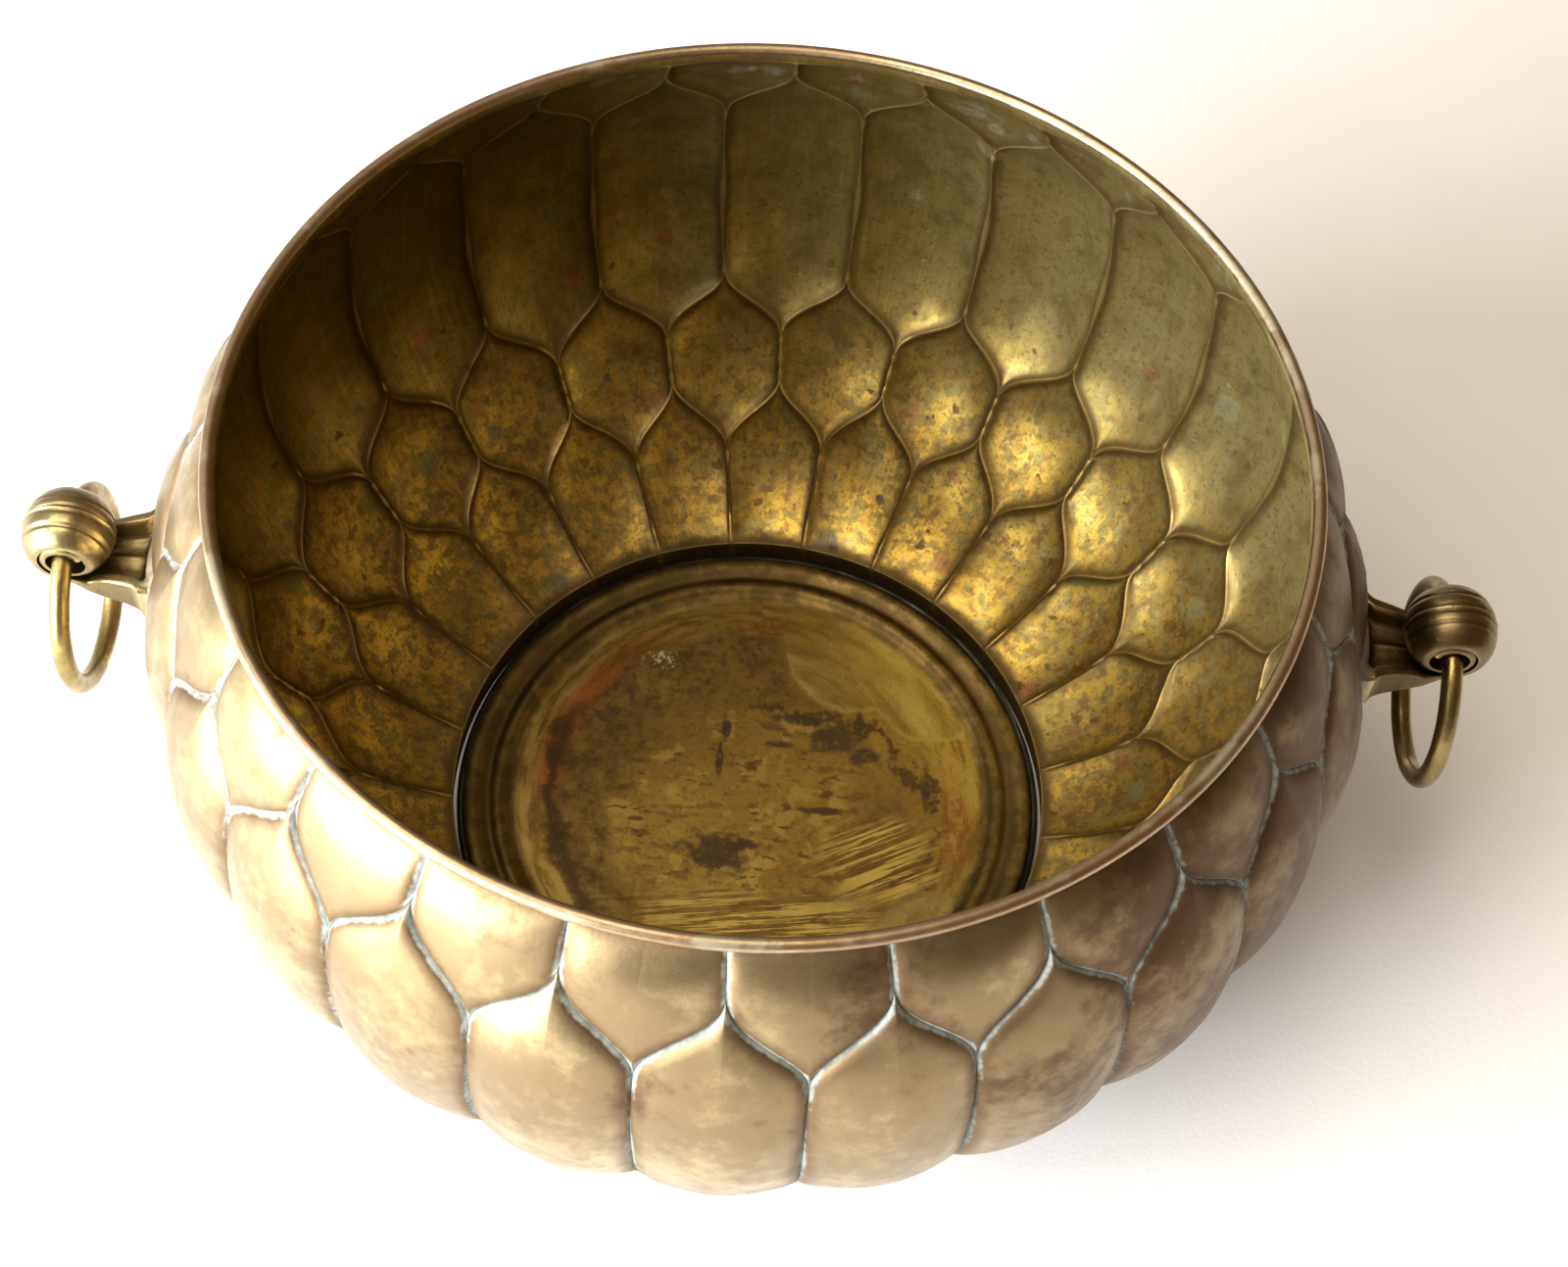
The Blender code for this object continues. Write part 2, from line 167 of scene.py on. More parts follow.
def pressed_height(points, groove):
    """How far a sheet swells when it is pressed up between fixed grooves, from 0 to 1."""
    rows, cols = groove.shape
    flat = points.reshape(-1, 3)
    stiff = np.zeros((rows * cols, rows * cols))
    push = np.zeros(rows * cols)
    for j in range(rows - 1):
        for i in range(cols - 1):
            a = j * cols + i
            for tri in ((a, a + 1, a + cols + 1), (a, a + cols + 1, a + cols)):
                p = flat[list(tri)]
                area = 0.5 * np.linalg.norm(np.cross(p[1] - p[0], p[2] - p[0]))
                for k in range(3):
                    m, n, o = tri[k], tri[(k + 1) % 3], tri[(k + 2) % 3]
                    u, v = flat[n] - flat[m], flat[o] - flat[m]
                    half = 0.5 * np.dot(u, v) / np.linalg.norm(np.cross(u, v))
                    stiff[n, n] += half
                    stiff[o, o] += half
                    stiff[n, o] -= half
                    stiff[o, n] -= half
                    push[m] += area / 3
    free = ~groove.ravel()
    rise = np.zeros(rows * cols)
    rise[free] = np.linalg.solve(stiff[np.ix_(free, free)], push[free])
    rise = np.maximum(rise, 0) ** 0.8
    return (rise / rise.max()).reshape(rows, cols)


line = smooth_line(PROFILE)
line_r = np.array([p.x for p in line])
line_z = np.array([p.y for p in line])
turn_half, level_half, groove_half, row_of, below_half = scale_lattice()
radius_half = np.interp(level_half, line_z[::-1], line_r[::-1])
flat_half = np.stack([radius_half * np.cos(turn_half), radius_half * np.sin(turn_half), level_half], -1)
rise_half = pressed_height(flat_half, groove_half)
groove_points = flat_half[groove_half]
seam_half = np.array([[np.min(np.linalg.norm(groove_points - p, axis=1)) for p in row]
                      for row in flat_half])

# a gathered fold runs down from the peak of every tall scale
aside = np.abs(math.pi / SCALES - turn_half)[None, :] * radius_half
ridge = np.sqrt(aside ** 2 + FOLD_ROUND ** 2) - FOLD_ROUND
fold_half = np.exp(-ridge / 4.4) * (1 - np.exp(-below_half / 2.5)) * np.exp(-(below_half / 15.0) ** 2)
fold_half[(row_of != 2)[:, None] | groove_half | (below_half < 0)] = 0

# mirror the half scale all round the bowl; a fold faces each handle
rows = len(level_half)
around = SCALES * 2 * HALF_STEPS
index = np.arange(around)
cell, step = np.divmod(index, 2 * HALF_STEPS)
forward = step <= HALF_STEPS
column = np.where(forward, step, 2 * HALF_STEPS - step)
turn = np.where(forward, turn_half[column], 2 * math.pi / SCALES - turn_half[column])
turn = turn + (cell + 0.5) * 2 * math.pi / SCALES
level = level_half[:, column]
seam = seam_half[:, column]
rise = rise_half[:, column]
fold = fold_half[:, column]
hand = np.random.default_rng(11)
pressed = hand.uniform(0.86, 1.06, (4, SCALES))
shade = hand.uniform(0.0, 1.0, (4, SCALES))
owner_a = np.where(step <= HALF_STEPS, cell, (cell + 1) % SCALES)
owner_b = cell
centre_on_a = np.array([not side for side in SIDE_ON_A])[row_of][:, None]
owner = np.where(centre_on_a, owner_a[None, :], owner_b[None, :])
strength = pressed[row_of[:, None], owner]
tone = shade[row_of[:, None], owner]

# grooves wander a little, as hand chasing does
mean_r = np.full_like(level, 140.0)
ring = np.stack([np.cos(turn) * mean_r, np.sin(turn) * mean_r, level], -1)
ease = np.clip(np.minimum(level - FOOT_Z, NECK_Z - level) / 12, 0, 1)
turn_all = turn[None, :] + 0.0055 * waver(ring, 26, 1) * ease
level = level + 1.0 * waver(ring, 24, 2) * ease
base_r = np.interp(level, line_z[::-1], line_r[::-1])
slope = np.gradient(line_r, line_z)
lean_r = np.interp(level, line_z[::-1], (1 / np.sqrt(1 + slope ** 2))[::-1])
lean_z = np.interp(level, line_z[::-1], (-slope / np.sqrt(1 + slope ** 2))[::-1])
dents = (0.30 * waver(ring, 13, 3) + 0.14 * waver(ring, 6, 4)) * ease * np.clip(seam / 3, 0, 1)


def skin(lift):
    r = base_r + lift * lean_r
    return np.stack([r * np.cos(turn_all), r * np.sin(turn_all), level + lift * lean_z], -1)


swell = BULGE * rise * strength + dents
pillow = skin(swell + 0.8 * FOLD_HEIGHT * fold)
side_step = np.roll(pillow, -1, 1) - np.roll(pillow, 1, 1)
up_step = np.gradient(pillow, axis=0)
facing = np.cross(side_step, up_step)
facing /= np.linalg.norm(facing, axis=2, keepdims=True)
chase = CHASE_DEPTH * np.exp(-(seam / CHASE_WIDTH) ** 2)
outside = skin(swell + FOLD_HEIGHT * fold - chase * np.clip(ease * 2, 0.25, 1))
rib = RIB_HEIGHT * np.exp(-(seam / RIB_WIDTH) ** 2)
inside = pillow - (SHEET + rib)[:, :, None] * facing


def hoop(r, z):
    a = turn_all[0]
    return np.stack([r * np.cos(a), r * np.sin(a), np.full(around, z)], -1)


inside[0] = hoop(COLLAR_R - SHEET, FOOT_Z + 0.6)
inside[-1] = hoop(NECK_R - SHEET, NECK_Z)
outside[0] = hoop(COLLAR_R, FOOT_Z)
outside[-1] = hoop(NECK_R, NECK_Z)
plain = np.full(around, 12.0)
half_tone = np.full(around, 0.5)
loops = [(inside[j], seam[j], rise[j], tone[j], 1) for j in range(rows)]
curl = [math.radians(180 - 12 * d) for d in range(25)]
for a in curl:
    loops.append((hoop(ROLL_R + BEAD_R * math.cos(a), ROLL_Z + BEAD_R * math.sin(a)),
                  plain, plain * 0, half_tone, 2))
for a in reversed(curl[::3]):
    thin = BEAD_R - SHEET
    loops.append((hoop(ROLL_R + thin * math.cos(a), ROLL_Z + thin * math.sin(a)),
                  plain, plain * 0, half_tone, 2))
loops += [(outside[j], seam[j], rise[j], tone[j], 0) for j in reversed(range(rows))]
for r, z in ((COLLAR_R + 0.4, 4.0), (COLLAR_R + COLLAR_FLARE, 0.0)):
    loops.append((hoop(r, z), plain, plain * 0, half_tone, 0))
loops.append((hoop(COLLAR_R + COLLAR_FLARE - SHEET, 0.0), plain, plain * 0, half_tone, 1))
bowl_faces = band_faces(len(loops), around)
bowl_slots = np.repeat([each[4] for each in loops], around).tolist()
bowl_points = np.concatenate([each[0] for each in loops])
bowl_numbers = {"seam": np.concatenate([each[1] for each in loops]),
                "rise": np.concatenate([each[2] for each in loops]),
                "tone": np.concatenate([each[3] for each in loops])}


# ---- how aged brass is painted: small node helpers and the shared effects ----
def put(tree, kind, inputs=None, **settings):
    """One shader node; inputs maps a socket to a value or to another node's output."""
    node = tree.nodes.new("ShaderNode" + kind)
    for key, value in settings.items():
        setattr(node, key, value)
    for key, value in (inputs or {}).items():
        if isinstance(value, bpy.types.NodeSocket):
            tree.links.new(value, node.inputs[key])
        else:
            node.inputs[key].default_value = value
    return node


def sums(tree, operation, a, b=0.0, clamp=False):
    return put(tree, "Math", {0: a, 1: b}, operation=operation, use_clamp=clamp).outputs[0]


def vector(tree, operation, a, b):
    return put(tree, "VectorMath", {0: a, 1: b}, operation=operation).outputs[0]


def times(tree, *values):
    """The product of several values."""
    product = values[0]
    for value in values[1:]:
        product = sums(tree, "MULTIPLY", product, value)
    return product


def fade(tree, value, start, end, low=0.0, high=1.0):
    """Smoothly from low at start to high at end."""
    node = put(tree, "MapRange", {"Value": value, "From Min": start, "From Max": end,
                                  "To Min": low, "To Max": high}, interpolation_type="SMOOTHSTEP")
    return node.outputs[0]


def blend(tree, amount, a, b, how="MIX"):
    node = put(tree, "Mix", {0: amount, 6: a, 7: b}, data_type="RGBA", blend_type=how)
    return node.outputs[2]


def tint(tree, colour, over, *masks):
    """The colour, covered by another as far as all the masks together let it."""
    return blend(tree, times(tree, *masks), colour, over)


def between(tree, amount, a, b):
    return put(tree, "Mix", {0: amount, 2: a, 3: b}, data_type="FLOAT").outputs[0]


def grain(tree, where, scale, detail=3.0, rough=0.55, distortion=0.0):
    return put(tree, "TexNoise", {"Vector": where, "Scale": scale, "Detail": detail,
                                  "Roughness": rough, "Distortion": distortion}).outputs[0]


def effect(name, inputs, outputs):
    """An empty shader node group with named sockets."""
    group = bpy.data.node_groups.new(name, "ShaderNodeTree")
    for key, kind, value in inputs:
        socket = group.interface.new_socket(key, in_out="INPUT", socket_type="NodeSocket" + kind)
        if value is not None:
            socket.default_value = value
    for key, kind in outputs:
        group.interface.new_socket(key, in_out="OUTPUT", socket_type="NodeSocket" + kind)
    return group, group.nodes.new("NodeGroupInput").outputs, group.nodes.new("NodeGroupOutput").inputs


def use(tree, group, inputs):
    node = tree.nodes.new("ShaderNodeGroup")
    node.node_tree = group
    for key, value in inputs.items():
        if isinstance(value, bpy.types.NodeSocket):
            tree.links.new(value, node.inputs[key])
        else:
            node.inputs[key].default_value = value
    return node.outputs


# soft-edged patches, as where tarnish has spread or been rubbed away
patches, given, made = effect(
    "tarnish_patches",
    [("Position", "Vector", None), ("Size", "Float", 20.0), ("Cover", "Float", 0.5),
     ("Softness", "Float", 0.1)],
    [("Mask", "Float")])
scale = sums(patches, "DIVIDE", 1000.0, given["Size"])
cloud = grain(patches, given["Position"], scale, 5.0, 0.62)
edge = sums(patches, "SUBTRACT", 1.0, given["Cover"])
patches.links.new(fade(patches, cloud, sums(patches, "SUBTRACT", edge, given["Softness"]),
                       sums(patches, "ADD", edge, given["Softness"])), made["Mask"])

# small round corrosion spots with ragged edges and a few larger ones
spots, given, made = effect(
    "corrosion_spots",
    [("Position", "Vector", None), ("Spacing", "Float", 6.0), ("Size", "Float", 0.25),
     ("Share", "Float", 0.5)],
    [("Mask", "Float")])
scale = sums(spots, "DIVIDE", 1000.0, given["Spacing"])
wobble = put(spots, "TexNoise", {"Vector": given["Position"], "Scale": times(spots, scale, 2.2),
                                 "Detail": 2.0})
pushed = vector(spots, "SUBTRACT", wobble.outputs["Color"], (0.5, 0.5, 0.5))
pushed = vector(spots, "MULTIPLY", pushed, (0.0035, 0.0035, 0.0035))
pushed = vector(spots, "ADD", pushed, given["Position"])
dots = put(spots, "TexVoronoi", {"Vector": pushed, "Scale": scale})
pick = put(spots, "SeparateColor", {0: dots.outputs["Color"]})
reach = times(spots, given["Size"], fade(spots, pick.outputs[1], 0.0, 1.0, 0.35, 1.5))
kept = sums(spots, "LESS_THAN", pick.outputs[0], given["Share"])
core = fade(spots, dots.outputs["Distance"], reach, times(spots, reach, 0.55))
spots.links.new(times(spots, core, kept), made["Mask"])

# hair-thin wipe marks that run along one direction of a stretched position
scuffs, given, made = effect(
    "wipe_scratches",
    [("Along", "Vector", None), ("Fineness", "Float", 400.0), ("Cover", "Float", 0.5)],
    [("Mask", "Float"), ("Height", "Float")])
hair = grain(scuffs, given["Along"], given["Fineness"], 4.0, 0.75)
edge = sums(scuffs, "SUBTRACT", 0.78, times(scuffs, given["Cover"], 0.35))
scuffs.links.new(fade(scuffs, hair, edge, sums(scuffs, "ADD", edge, 0.06)), made["Mask"])
scuffs.links.new(hair, made["Height"])

# pale green-blue salts that settle in a chased line
salts, given, made = effect(
    "verdigris_in_line",
    [("Position", "Vector", None), ("Distance", "Float", 0.0), ("Width", "Float", 0.9),
     ("Cover", "Float", 0.6)],
    [("Salt", "Float"), ("Dirt", "Float"), ("Colour", "Color")])
ragged = grain(salts, given["Position"], 420.0, 3.0, 0.6)
patchy = grain(salts, given["Position"], 45.0, 3.0, 0.6)
reach = times(salts, given["Width"], fade(salts, ragged, 0.25, 0.75, 0.75, 1.25))
line_mask = fade(salts, given["Distance"], reach, times(salts, reach, 0.45))
edge = sums(salts, "SUBTRACT", 0.95, given["Cover"])
present = fade(salts, patchy, sums(salts, "SUBTRACT", edge, 0.15), sums(salts, "ADD", edge, 0.15))
salts.links.new(times(salts, line_mask, present), made["Salt"])
halo = fade(salts, given["Distance"], times(salts, given["Width"], 3.6),
            times(salts, given["Width"], 0.8))
salts.links.new(halo, made["Dirt"])
salt_tone = fade(salts, ragged, 0.35, 0.65)
salts.links.new(blend(salts, salt_tone, (0.22, 0.26, 0.245, 1), (0.38, 0.42, 0.405, 1)), made["Colour"])

# brass between freshly rubbed and brown with age
aged, given, made = effect(
    "aged_brass",
    [("Position", "Vector", None), ("Size", "Float", 30.0), ("Age", "Float", 0.5),
     ("Bright", "Color", (0.62, 0.45, 0.16, 1)), ("Dull", "Color", (0.40, 0.29, 0.12, 1)),
     ("Brown", "Color", (0.16, 0.10, 0.05, 1))],
    [("Colour", "Color"), ("Roughness", "Float")])
scale = sums(aged, "DIVIDE", 1000.0, given["Size"])
slow = grain(aged, given["Position"], scale, 4.0, 0.6)
quick_grain = grain(aged, given["Position"], times(aged, scale, 7.0), 4.0, 0.7)
mixed = sums(aged, "ADD", times(aged, slow, 0.7), times(aged, quick_grain, 0.3))
years = sums(aged, "ADD", times(aged, sums(aged, "SUBTRACT", mixed, 0.5), 2.4), given["Age"], True)
lit = blend(aged, fade(aged, years, 0.05, 0.5), given["Bright"], given["Dull"])
aged.links.new(blend(aged, fade(aged, years, 0.55, 1.0), lit, given["Brown"]), made["Colour"])
aged.links.new(sums(aged, "ADD", 0.24, times(aged, years, 0.26)), made["Roughness"])


def patches_in(tree, where, size, cover, softness):
    return use(tree, patches, {"Position": where, "Size": size, "Cover": cover,
                               "Softness": softness})["Mask"]


def spots_in(tree, where, spacing, size, share):
    return use(tree, spots, {"Position": where, "Spacing": spacing, "Size": size, "Share": share})["Mask"]


def brass_in(tree, where, size, age, bright, dull, brown):
    return use(tree, aged, {"Position": where, "Size": size, "Age": age,
                            "Bright": bright, "Dull": dull, "Brown": brown})


def new_metal(name, rough=0.35):
    """A metal to be painted: its node tree, its shader and the position on the object."""
    mat = bpy.data.materials.new(name)
    mat.use_nodes = True
    tree = mat.node_tree
    shader = tree.nodes["Principled BSDF"]
    shader.inputs["Metallic"].default_value = 1.0
    shader.inputs["Roughness"].default_value = rough
    where = tree.nodes.new("ShaderNodeTexCoord").outputs["Object"]
    return mat, tree, shader, where


def finish_metal(tree, shader, colour, rough, metal=None, height=None, strength=0.3, reach=0.0004):
    tree.links.new(colour, shader.inputs["Base Color"])
    tree.links.new(rough, shader.inputs["Roughness"])
    if metal is not None:
        tree.links.new(metal, shader.inputs["Metallic"])
    if height is not None:
        bump = put(tree, "Bump", {"Height": height, "Strength": strength, "Distance": reach})
        tree.links.new(bump.outputs[0], shader.inputs["Normal"])


def number(tree, name):
    return put(tree, "Attribute", attribute_name=name, attribute_type="GEOMETRY").outputs["Fac"]


def outside_finish():
    """Satin brown-gold outside: rubbed on the swell, dark beside the lines, salts in them."""
    mat, tree, shader, where = new_metal("bowl_outside_brass")
    seam_mm, rise_01, tone_01 = (number(tree, key) for key in ("seam", "rise", "tone"))
    parts = put(tree, "SeparateXYZ", {0: where})
    height = parts.outputs["Z"]
    # Painted shade: the +X side, turned away from the window light, is given older, darker patina.
    shaded_side = fade(tree, parts.outputs["X"], -0.02, 0.14)
    age = between(tree, tone_01, 0.34, 0.52)
    age = sums(tree, "SUBTRACT", age, fade(tree, rise_01, 0.2, 0.9, 0.0, 0.10))
    age = sums(tree, "ADD", age, times(tree, shaded_side, 0.50))
    metal = brass_in(tree, where, 34.0, age,
                     (0.44, 0.35, 0.18, 1), (0.26, 0.192, 0.098, 1), (0.115, 0.068, 0.036, 1))
    colour = metal["Colour"]
    low_down = fade(tree, height, 0.085, 0.035)
    blotch = patches_in(tree, where, 6.0, 0.46, 0.035)
    colour = tint(tree, colour, (0.125, 0.083, 0.054, 1), low_down, 0.75)
    pale = times(tree, blotch, low_down)
    colour = tint(tree, colour, (0.34, 0.25, 0.14, 1), pale, 0.6)
    # Painted shade: the +X side is blended further toward dark brown.
    right_side_painted_shade = fade(tree, parts.outputs["X"], 0.07, 0.15, 0.0, 0.5)
    colour = blend(tree, right_side_painted_shade, colour, (0.085, 0.042, 0.016, 1))
    specks = spots_in(tree, where, 9.0, 0.16, 0.35)
    colour = tint(tree, colour, (0.20, 0.12, 0.06, 1), specks, 0.55)
    line_fx = use(tree, salts, {"Position": where, "Distance": seam_mm, "Width": 1.3, "Cover": 0.64})
    colour = tint(tree, colour, (0.13, 0.075, 0.04, 1), line_fx["Dirt"], 0.6)
    neck = fade(tree, height, 0.1655, 0.1672)
    neck_salt = patches_in(tree, where, 12.0, 0.42, 0.08)
    salt = sums(tree, "MAXIMUM", line_fx["Salt"], times(tree, neck, neck_salt))
    colour = tint(tree, colour, line_fx["Colour"], salt, 0.8)
    rough = sums(tree, "ADD", metal["Roughness"], times(tree, salt, 0.4), True)
    rough = sums(tree, "ADD", rough, times(tree, line_fx["Dirt"], 0.16), True)
    tiny = grain(tree, where, 900.0, 3.0, 0.6)
    soft = grain(tree, where, 120.0, 3.0, 0.5)
    height_mix = sums(tree, "ADD", times(tree, tiny, 0.35), times(tree, soft, 0.65))
    finish_metal(tree, shader, colour, rough, sums(tree, "SUBTRACT", 0.96, times(tree, salt, 0.85)),
                 height_mix, 0.35, 0.0003)
    return mat


def inside_finish():
    """Olive-gold inside: gold mottling low down, brown, red and green spots, bright ribs."""
    mat, tree, shader, where = new_metal("bowl_inside_brass")
    seam_mm, tone_01 = number(tree, "seam"), number(tree, "tone")
    parts = put(tree, "SeparateXYZ", {0: where})
    height = parts.outputs["Z"]
    level_out = put(tree, "CombineXYZ", {"X": parts.outputs["X"], "Y": parts.outputs["Y"]}).outputs[0]
    radial = put(tree, "VectorMath", {0: level_out}, operation="NORMALIZE").outputs[0]
    radial = put(tree, "VectorMath", {0: radial, "Scale": 0.14}, operation="SCALE").outputs[0]
    upright = put(tree, "CombineXYZ", {"Z": times(tree, height, 0.04)}).outputs[0]
    up_and_down = vector(tree, "ADD", radial, upright)
    age = between(tree, tone_01, 0.36, 0.52)
    metal = brass_in(tree, where, 30.0, age,
                     (0.44, 0.36, 0.115, 1), (0.29, 0.225, 0.055, 1), (0.13, 0.083, 0.02, 1))
    colour = metal["Colour"]
    # Painted light: the inner wall on the +X side, which faces the window, is lightened toward pale olive
    # and broken into streaks.
    right_wall_painted_light = times(tree, fade(tree, parts.outputs["X"], 0.01, 0.12), fade(tree, height, 0.03, 0.10))
    painted_light_streaks = fade(tree, grain(tree, up_and_down, 260.0, 4.0, 0.7), 0.35, 0.65, 0.6, 1.0)
    colour = tint(tree, colour, (0.50, 0.46, 0.22, 1), right_wall_painted_light, painted_light_streaks, 0.55)
    # Painted shade: the inner wall on the -X side, turned away from the window, is darkened.
    left_wall_painted_shade = fade(tree, parts.outputs["X"], -0.02, -0.12)
    colour = tint(tree, colour, (0.10, 0.06, 0.018, 1), left_wall_painted_shade, 0.5)
    low_down = fade(tree, height, 0.085, 0.03)
    gold = patches_in(tree, where, 4.2, 0.52, 0.035)
    cluster = patches_in(tree, where, 19.0, 0.62, 0.12)
    gold = times(tree, gold, cluster)
    gold = times(tree, gold, fade(tree, grain(tree, where, 900.0, 4.0, 0.7), 0.36, 0.52, 0.25, 1.0))
    gold = times(tree, gold, low_down)
    colour = tint(tree, colour, (0.60, 0.36, 0.045, 1), gold, 0.8)
    bronze = patches_in(tree, where, 3.6, 0.44, 0.03)
    colour = tint(tree, colour, (0.17, 0.085, 0.022, 1), bronze, low_down, 0.6)
    brown = spots_in(tree, where, 6.5, 0.20, 0.45)
    small = spots_in(tree, where, 1.7, 0.24, 0.40)
    green = spots_in(tree, where, 17.0, 0.20, 0.45)
    red = spots_in(tree, where, 13.0, 0.22, 0.35)
    colour = tint(tree, colour, (0.36, 0.13, 0.06, 1), red, 0.6)
    colour = tint(tree, colour, (0.15, 0.09, 0.045, 1), brown, 0.7)
    colour = tint(tree, colour, (0.16, 0.095, 0.045, 1), small, 0.55)
    colour = tint(tree, colour, (0.10, 0.13, 0.08, 1), green, 0.7)
    rub = use(tree, scuffs, {"Along": up_and_down, "Fineness": 1100.0, "Cover": 0.75})
    colour = tint(tree, colour, (0.55, 0.45, 0.18, 1), rub["Mask"], 0.17)
    pepper = fade(tree, grain(tree, where, 620.0, 5.0, 0.75), 0.47, 0.36)
    colour = tint(tree, colour, (0.11, 0.068, 0.02, 1), pepper, 0.55)
    mottle = patches_in(tree, where, 11.0, 0.46, 0.10)
    colour = tint(tree, colour, (0.125, 0.078, 0.024, 1), mottle, 0.42)
    far_top = times(tree, fade(tree, parts.outputs["Y"], 0.02, 0.12), fade(tree, height, 0.09, 0.15))
    colour = tint(tree, colour, (0.105, 0.066, 0.022, 1), far_top, 0.42)
    # Painted highlight: whitish glints on the shoulders of the tall scales just under the rim, where the
    # fold creases catch the light.
    shoulder = times(tree, fade(tree, height, 0.140, 0.150), fade(tree, height, 0.160, 0.154))
    painted_glint = patches_in(tree, where, 15.0, 0.42, 0.05)
    painted_glint = times(tree, painted_glint, shoulder)
    colour = tint(tree, colour, (0.50, 0.49, 0.41, 1), painted_glint, 0.4)
    # Painted shade: the foot of the inner wall, where it goes down into the narrow gap beside the floor
    # dish, is darkened nearly to black.
    joint_gap_painted_shade = fade(tree, height, 0.0110, 0.0088)
    colour = tint(tree, colour, (0.060, 0.036, 0.013, 1), joint_gap_painted_shade, 0.9)
    beside = times(tree, fade(tree, seam_mm, 3.6, 0.9), fade(tree, seam_mm, 0.12, 0.4))
    colour = tint(tree, colour, (0.13, 0.085, 0.03, 1), beside, 0.75)
    worn_rib = fade(tree, seam_mm, 0.42, 0.12)
    colour = tint(tree, colour, (0.42, 0.31, 0.12, 1), worn_rib, 0.5)
    rough = sums(tree, "SUBTRACT", sums(tree, "ADD", metal["Roughness"], 0.07), times(tree, gold, 0.08))
    rough = sums(tree, "ADD", rough, times(tree, brown, 0.25), True)
    rough = sums(tree, "ADD", rough, times(tree, joint_gap_painted_shade, 0.5), True)
    pits = sums(tree, "MAXIMUM", brown, green)
    soft = grain(tree, where, 160.0, 4.0, 0.6)
    height_mix = sums(tree, "SUBTRACT", times(tree, soft, 0.7), times(tree, pits, 0.35))
    height_mix = sums(tree, "ADD", height_mix, times(tree, rub["Height"], 0.15))
    metallic = sums(tree, "SUBTRACT", 0.75, times(tree, green, 0.5))
    finish_metal(tree, shader, colour, rough, metallic, height_mix, 0.45, 0.0004)
    return mat


# The rolled edge is handled most: rubbed to a coppery pink, with grey-green patches left.
def rim_finish():
    mat, tree, shader, where = new_metal("rolled_rim_brass")
    metal = brass_in(tree, where, 22.0, 0.42,
                     (0.54, 0.40, 0.24, 1), (0.38, 0.265, 0.155, 1), (0.17, 0.10, 0.06, 1))
    height = put(tree, "SeparateXYZ", {0: where}).outputs["Z"]
    under = fade(tree, height, 0.1690, 0.1675)
    grey = patches_in(tree, where, 15.0, 0.43, 0.07)
    colour = tint(tree, metal["Colour"], (0.42, 0.40, 0.27, 1), grey, 0.65)
    colour = tint(tree, colour, (0.15, 0.10, 0.07, 1), under, 0.7)
    rough = sums(tree, "ADD", metal["Roughness"], times(tree, grey, 0.12))
    finish_metal(tree, shader, colour, rough, None, grain(tree, where, 300.0, 4.0, 0.6), 0.3, 0.0003)
    return mat


bowl = make_mesh("bowl_body", bowl_points, bowl_faces, [outside_finish(), inside_finish(), rim_finish()],
                 60.0, bowl_slots, bowl_numbers)
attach(bowl, "pot")
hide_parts("bowl_shell")
bowl_tree = BVHTree.FromObject(bowl, bpy.context.evaluated_depsgraph_get())


def wall_x(y, z, outside_wall=True):
    """How far the bowl's wall stands from its middle plane, along X, in millimetres."""
    start, way = (400.0, -1.0) if outside_wall else (60.0, 1.0)
    hit = bowl_tree.ray_cast(Vector((start * MM, y * MM, z * MM)), Vector((way, 0, 0)))
    return hit[0].x / MM


# ======================================================
# Rim wire.  A ring of soft iron wire lies inside the rolled edge and stiffens it; the
# brass is curled round it, so it shows only where the curl ends, under the rim.
# ======================================================
wire_mat, tree, shader, where = new_metal("iron_wire", 0.5)
wire_metal = brass_in(tree, where, 8.0, 0.5,
                      (0.42, 0.40, 0.38, 1), (0.28, 0.25, 0.22, 1), (0.16, 0.08, 0.05, 1))
finish_metal(tree, shader, wire_metal["Colour"], wire_metal["Roughness"], None,
             grain(tree, where, 900.0), 0.4, 0.0002)
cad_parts["rim_wire"].data.materials.clear()
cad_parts["rim_wire"].data.materials.append(wire_mat)

# ======================================================
# Base dish.  A disc of the same sheet with a rolled-over lip and a double bead, pushed up
# into the foot collar.  Its floor is the most stained part: water stood on it for years.
# ======================================================
FLOOR_Z = 3.6
FLOOR_R = 67.6
UNDER_Z = 2.6
FLOOR_RINGS = 34
DISH_STEPS = 288
lip = [(83.5, 0.0), (83.5, 0.9), (81.8, 0.9), (81.8, 3.9), (81.5, 4.7), (80.8, 5.25), (79.6, 5.5),
       (78.4, 5.45), (77.2, 5.1), (76.2, 4.5), (75.2, 4.2), (74.5, 4.1), (73.7, 4.35), (73.0, 4.8),
       (72.2, 5.05), (71.2, 5.05), (70.4, 4.8), (69.6, 4.3), (68.8, 3.85), (FLOOR_R, FLOOR_Z)]
floor_radii = [FLOOR_R * (1 - k / FLOOR_RINGS) for k in range(1, FLOOR_RINGS)]
under = [(67.3, 2.7), (69.6, 3.3), (74.6, 3.2), (77.8, 4.3), (80.4, 4.2), (80.9, 3.5), (80.9, 0.0)]
angle = 2 * math.pi * np.arange(DISH_STEPS) / DISH_STEPS


def dish_hoop(r, z, uneven):
    flat = np.stack([r * np.cos(angle), r * np.sin(angle), np.full(DISH_STEPS, float(z))], -1)
    if uneven:
        flat[:, 2] += uneven * (0.22 * waver(flat, 24, 5) + 0.10 * waver(flat, 9, 6))
    return flat


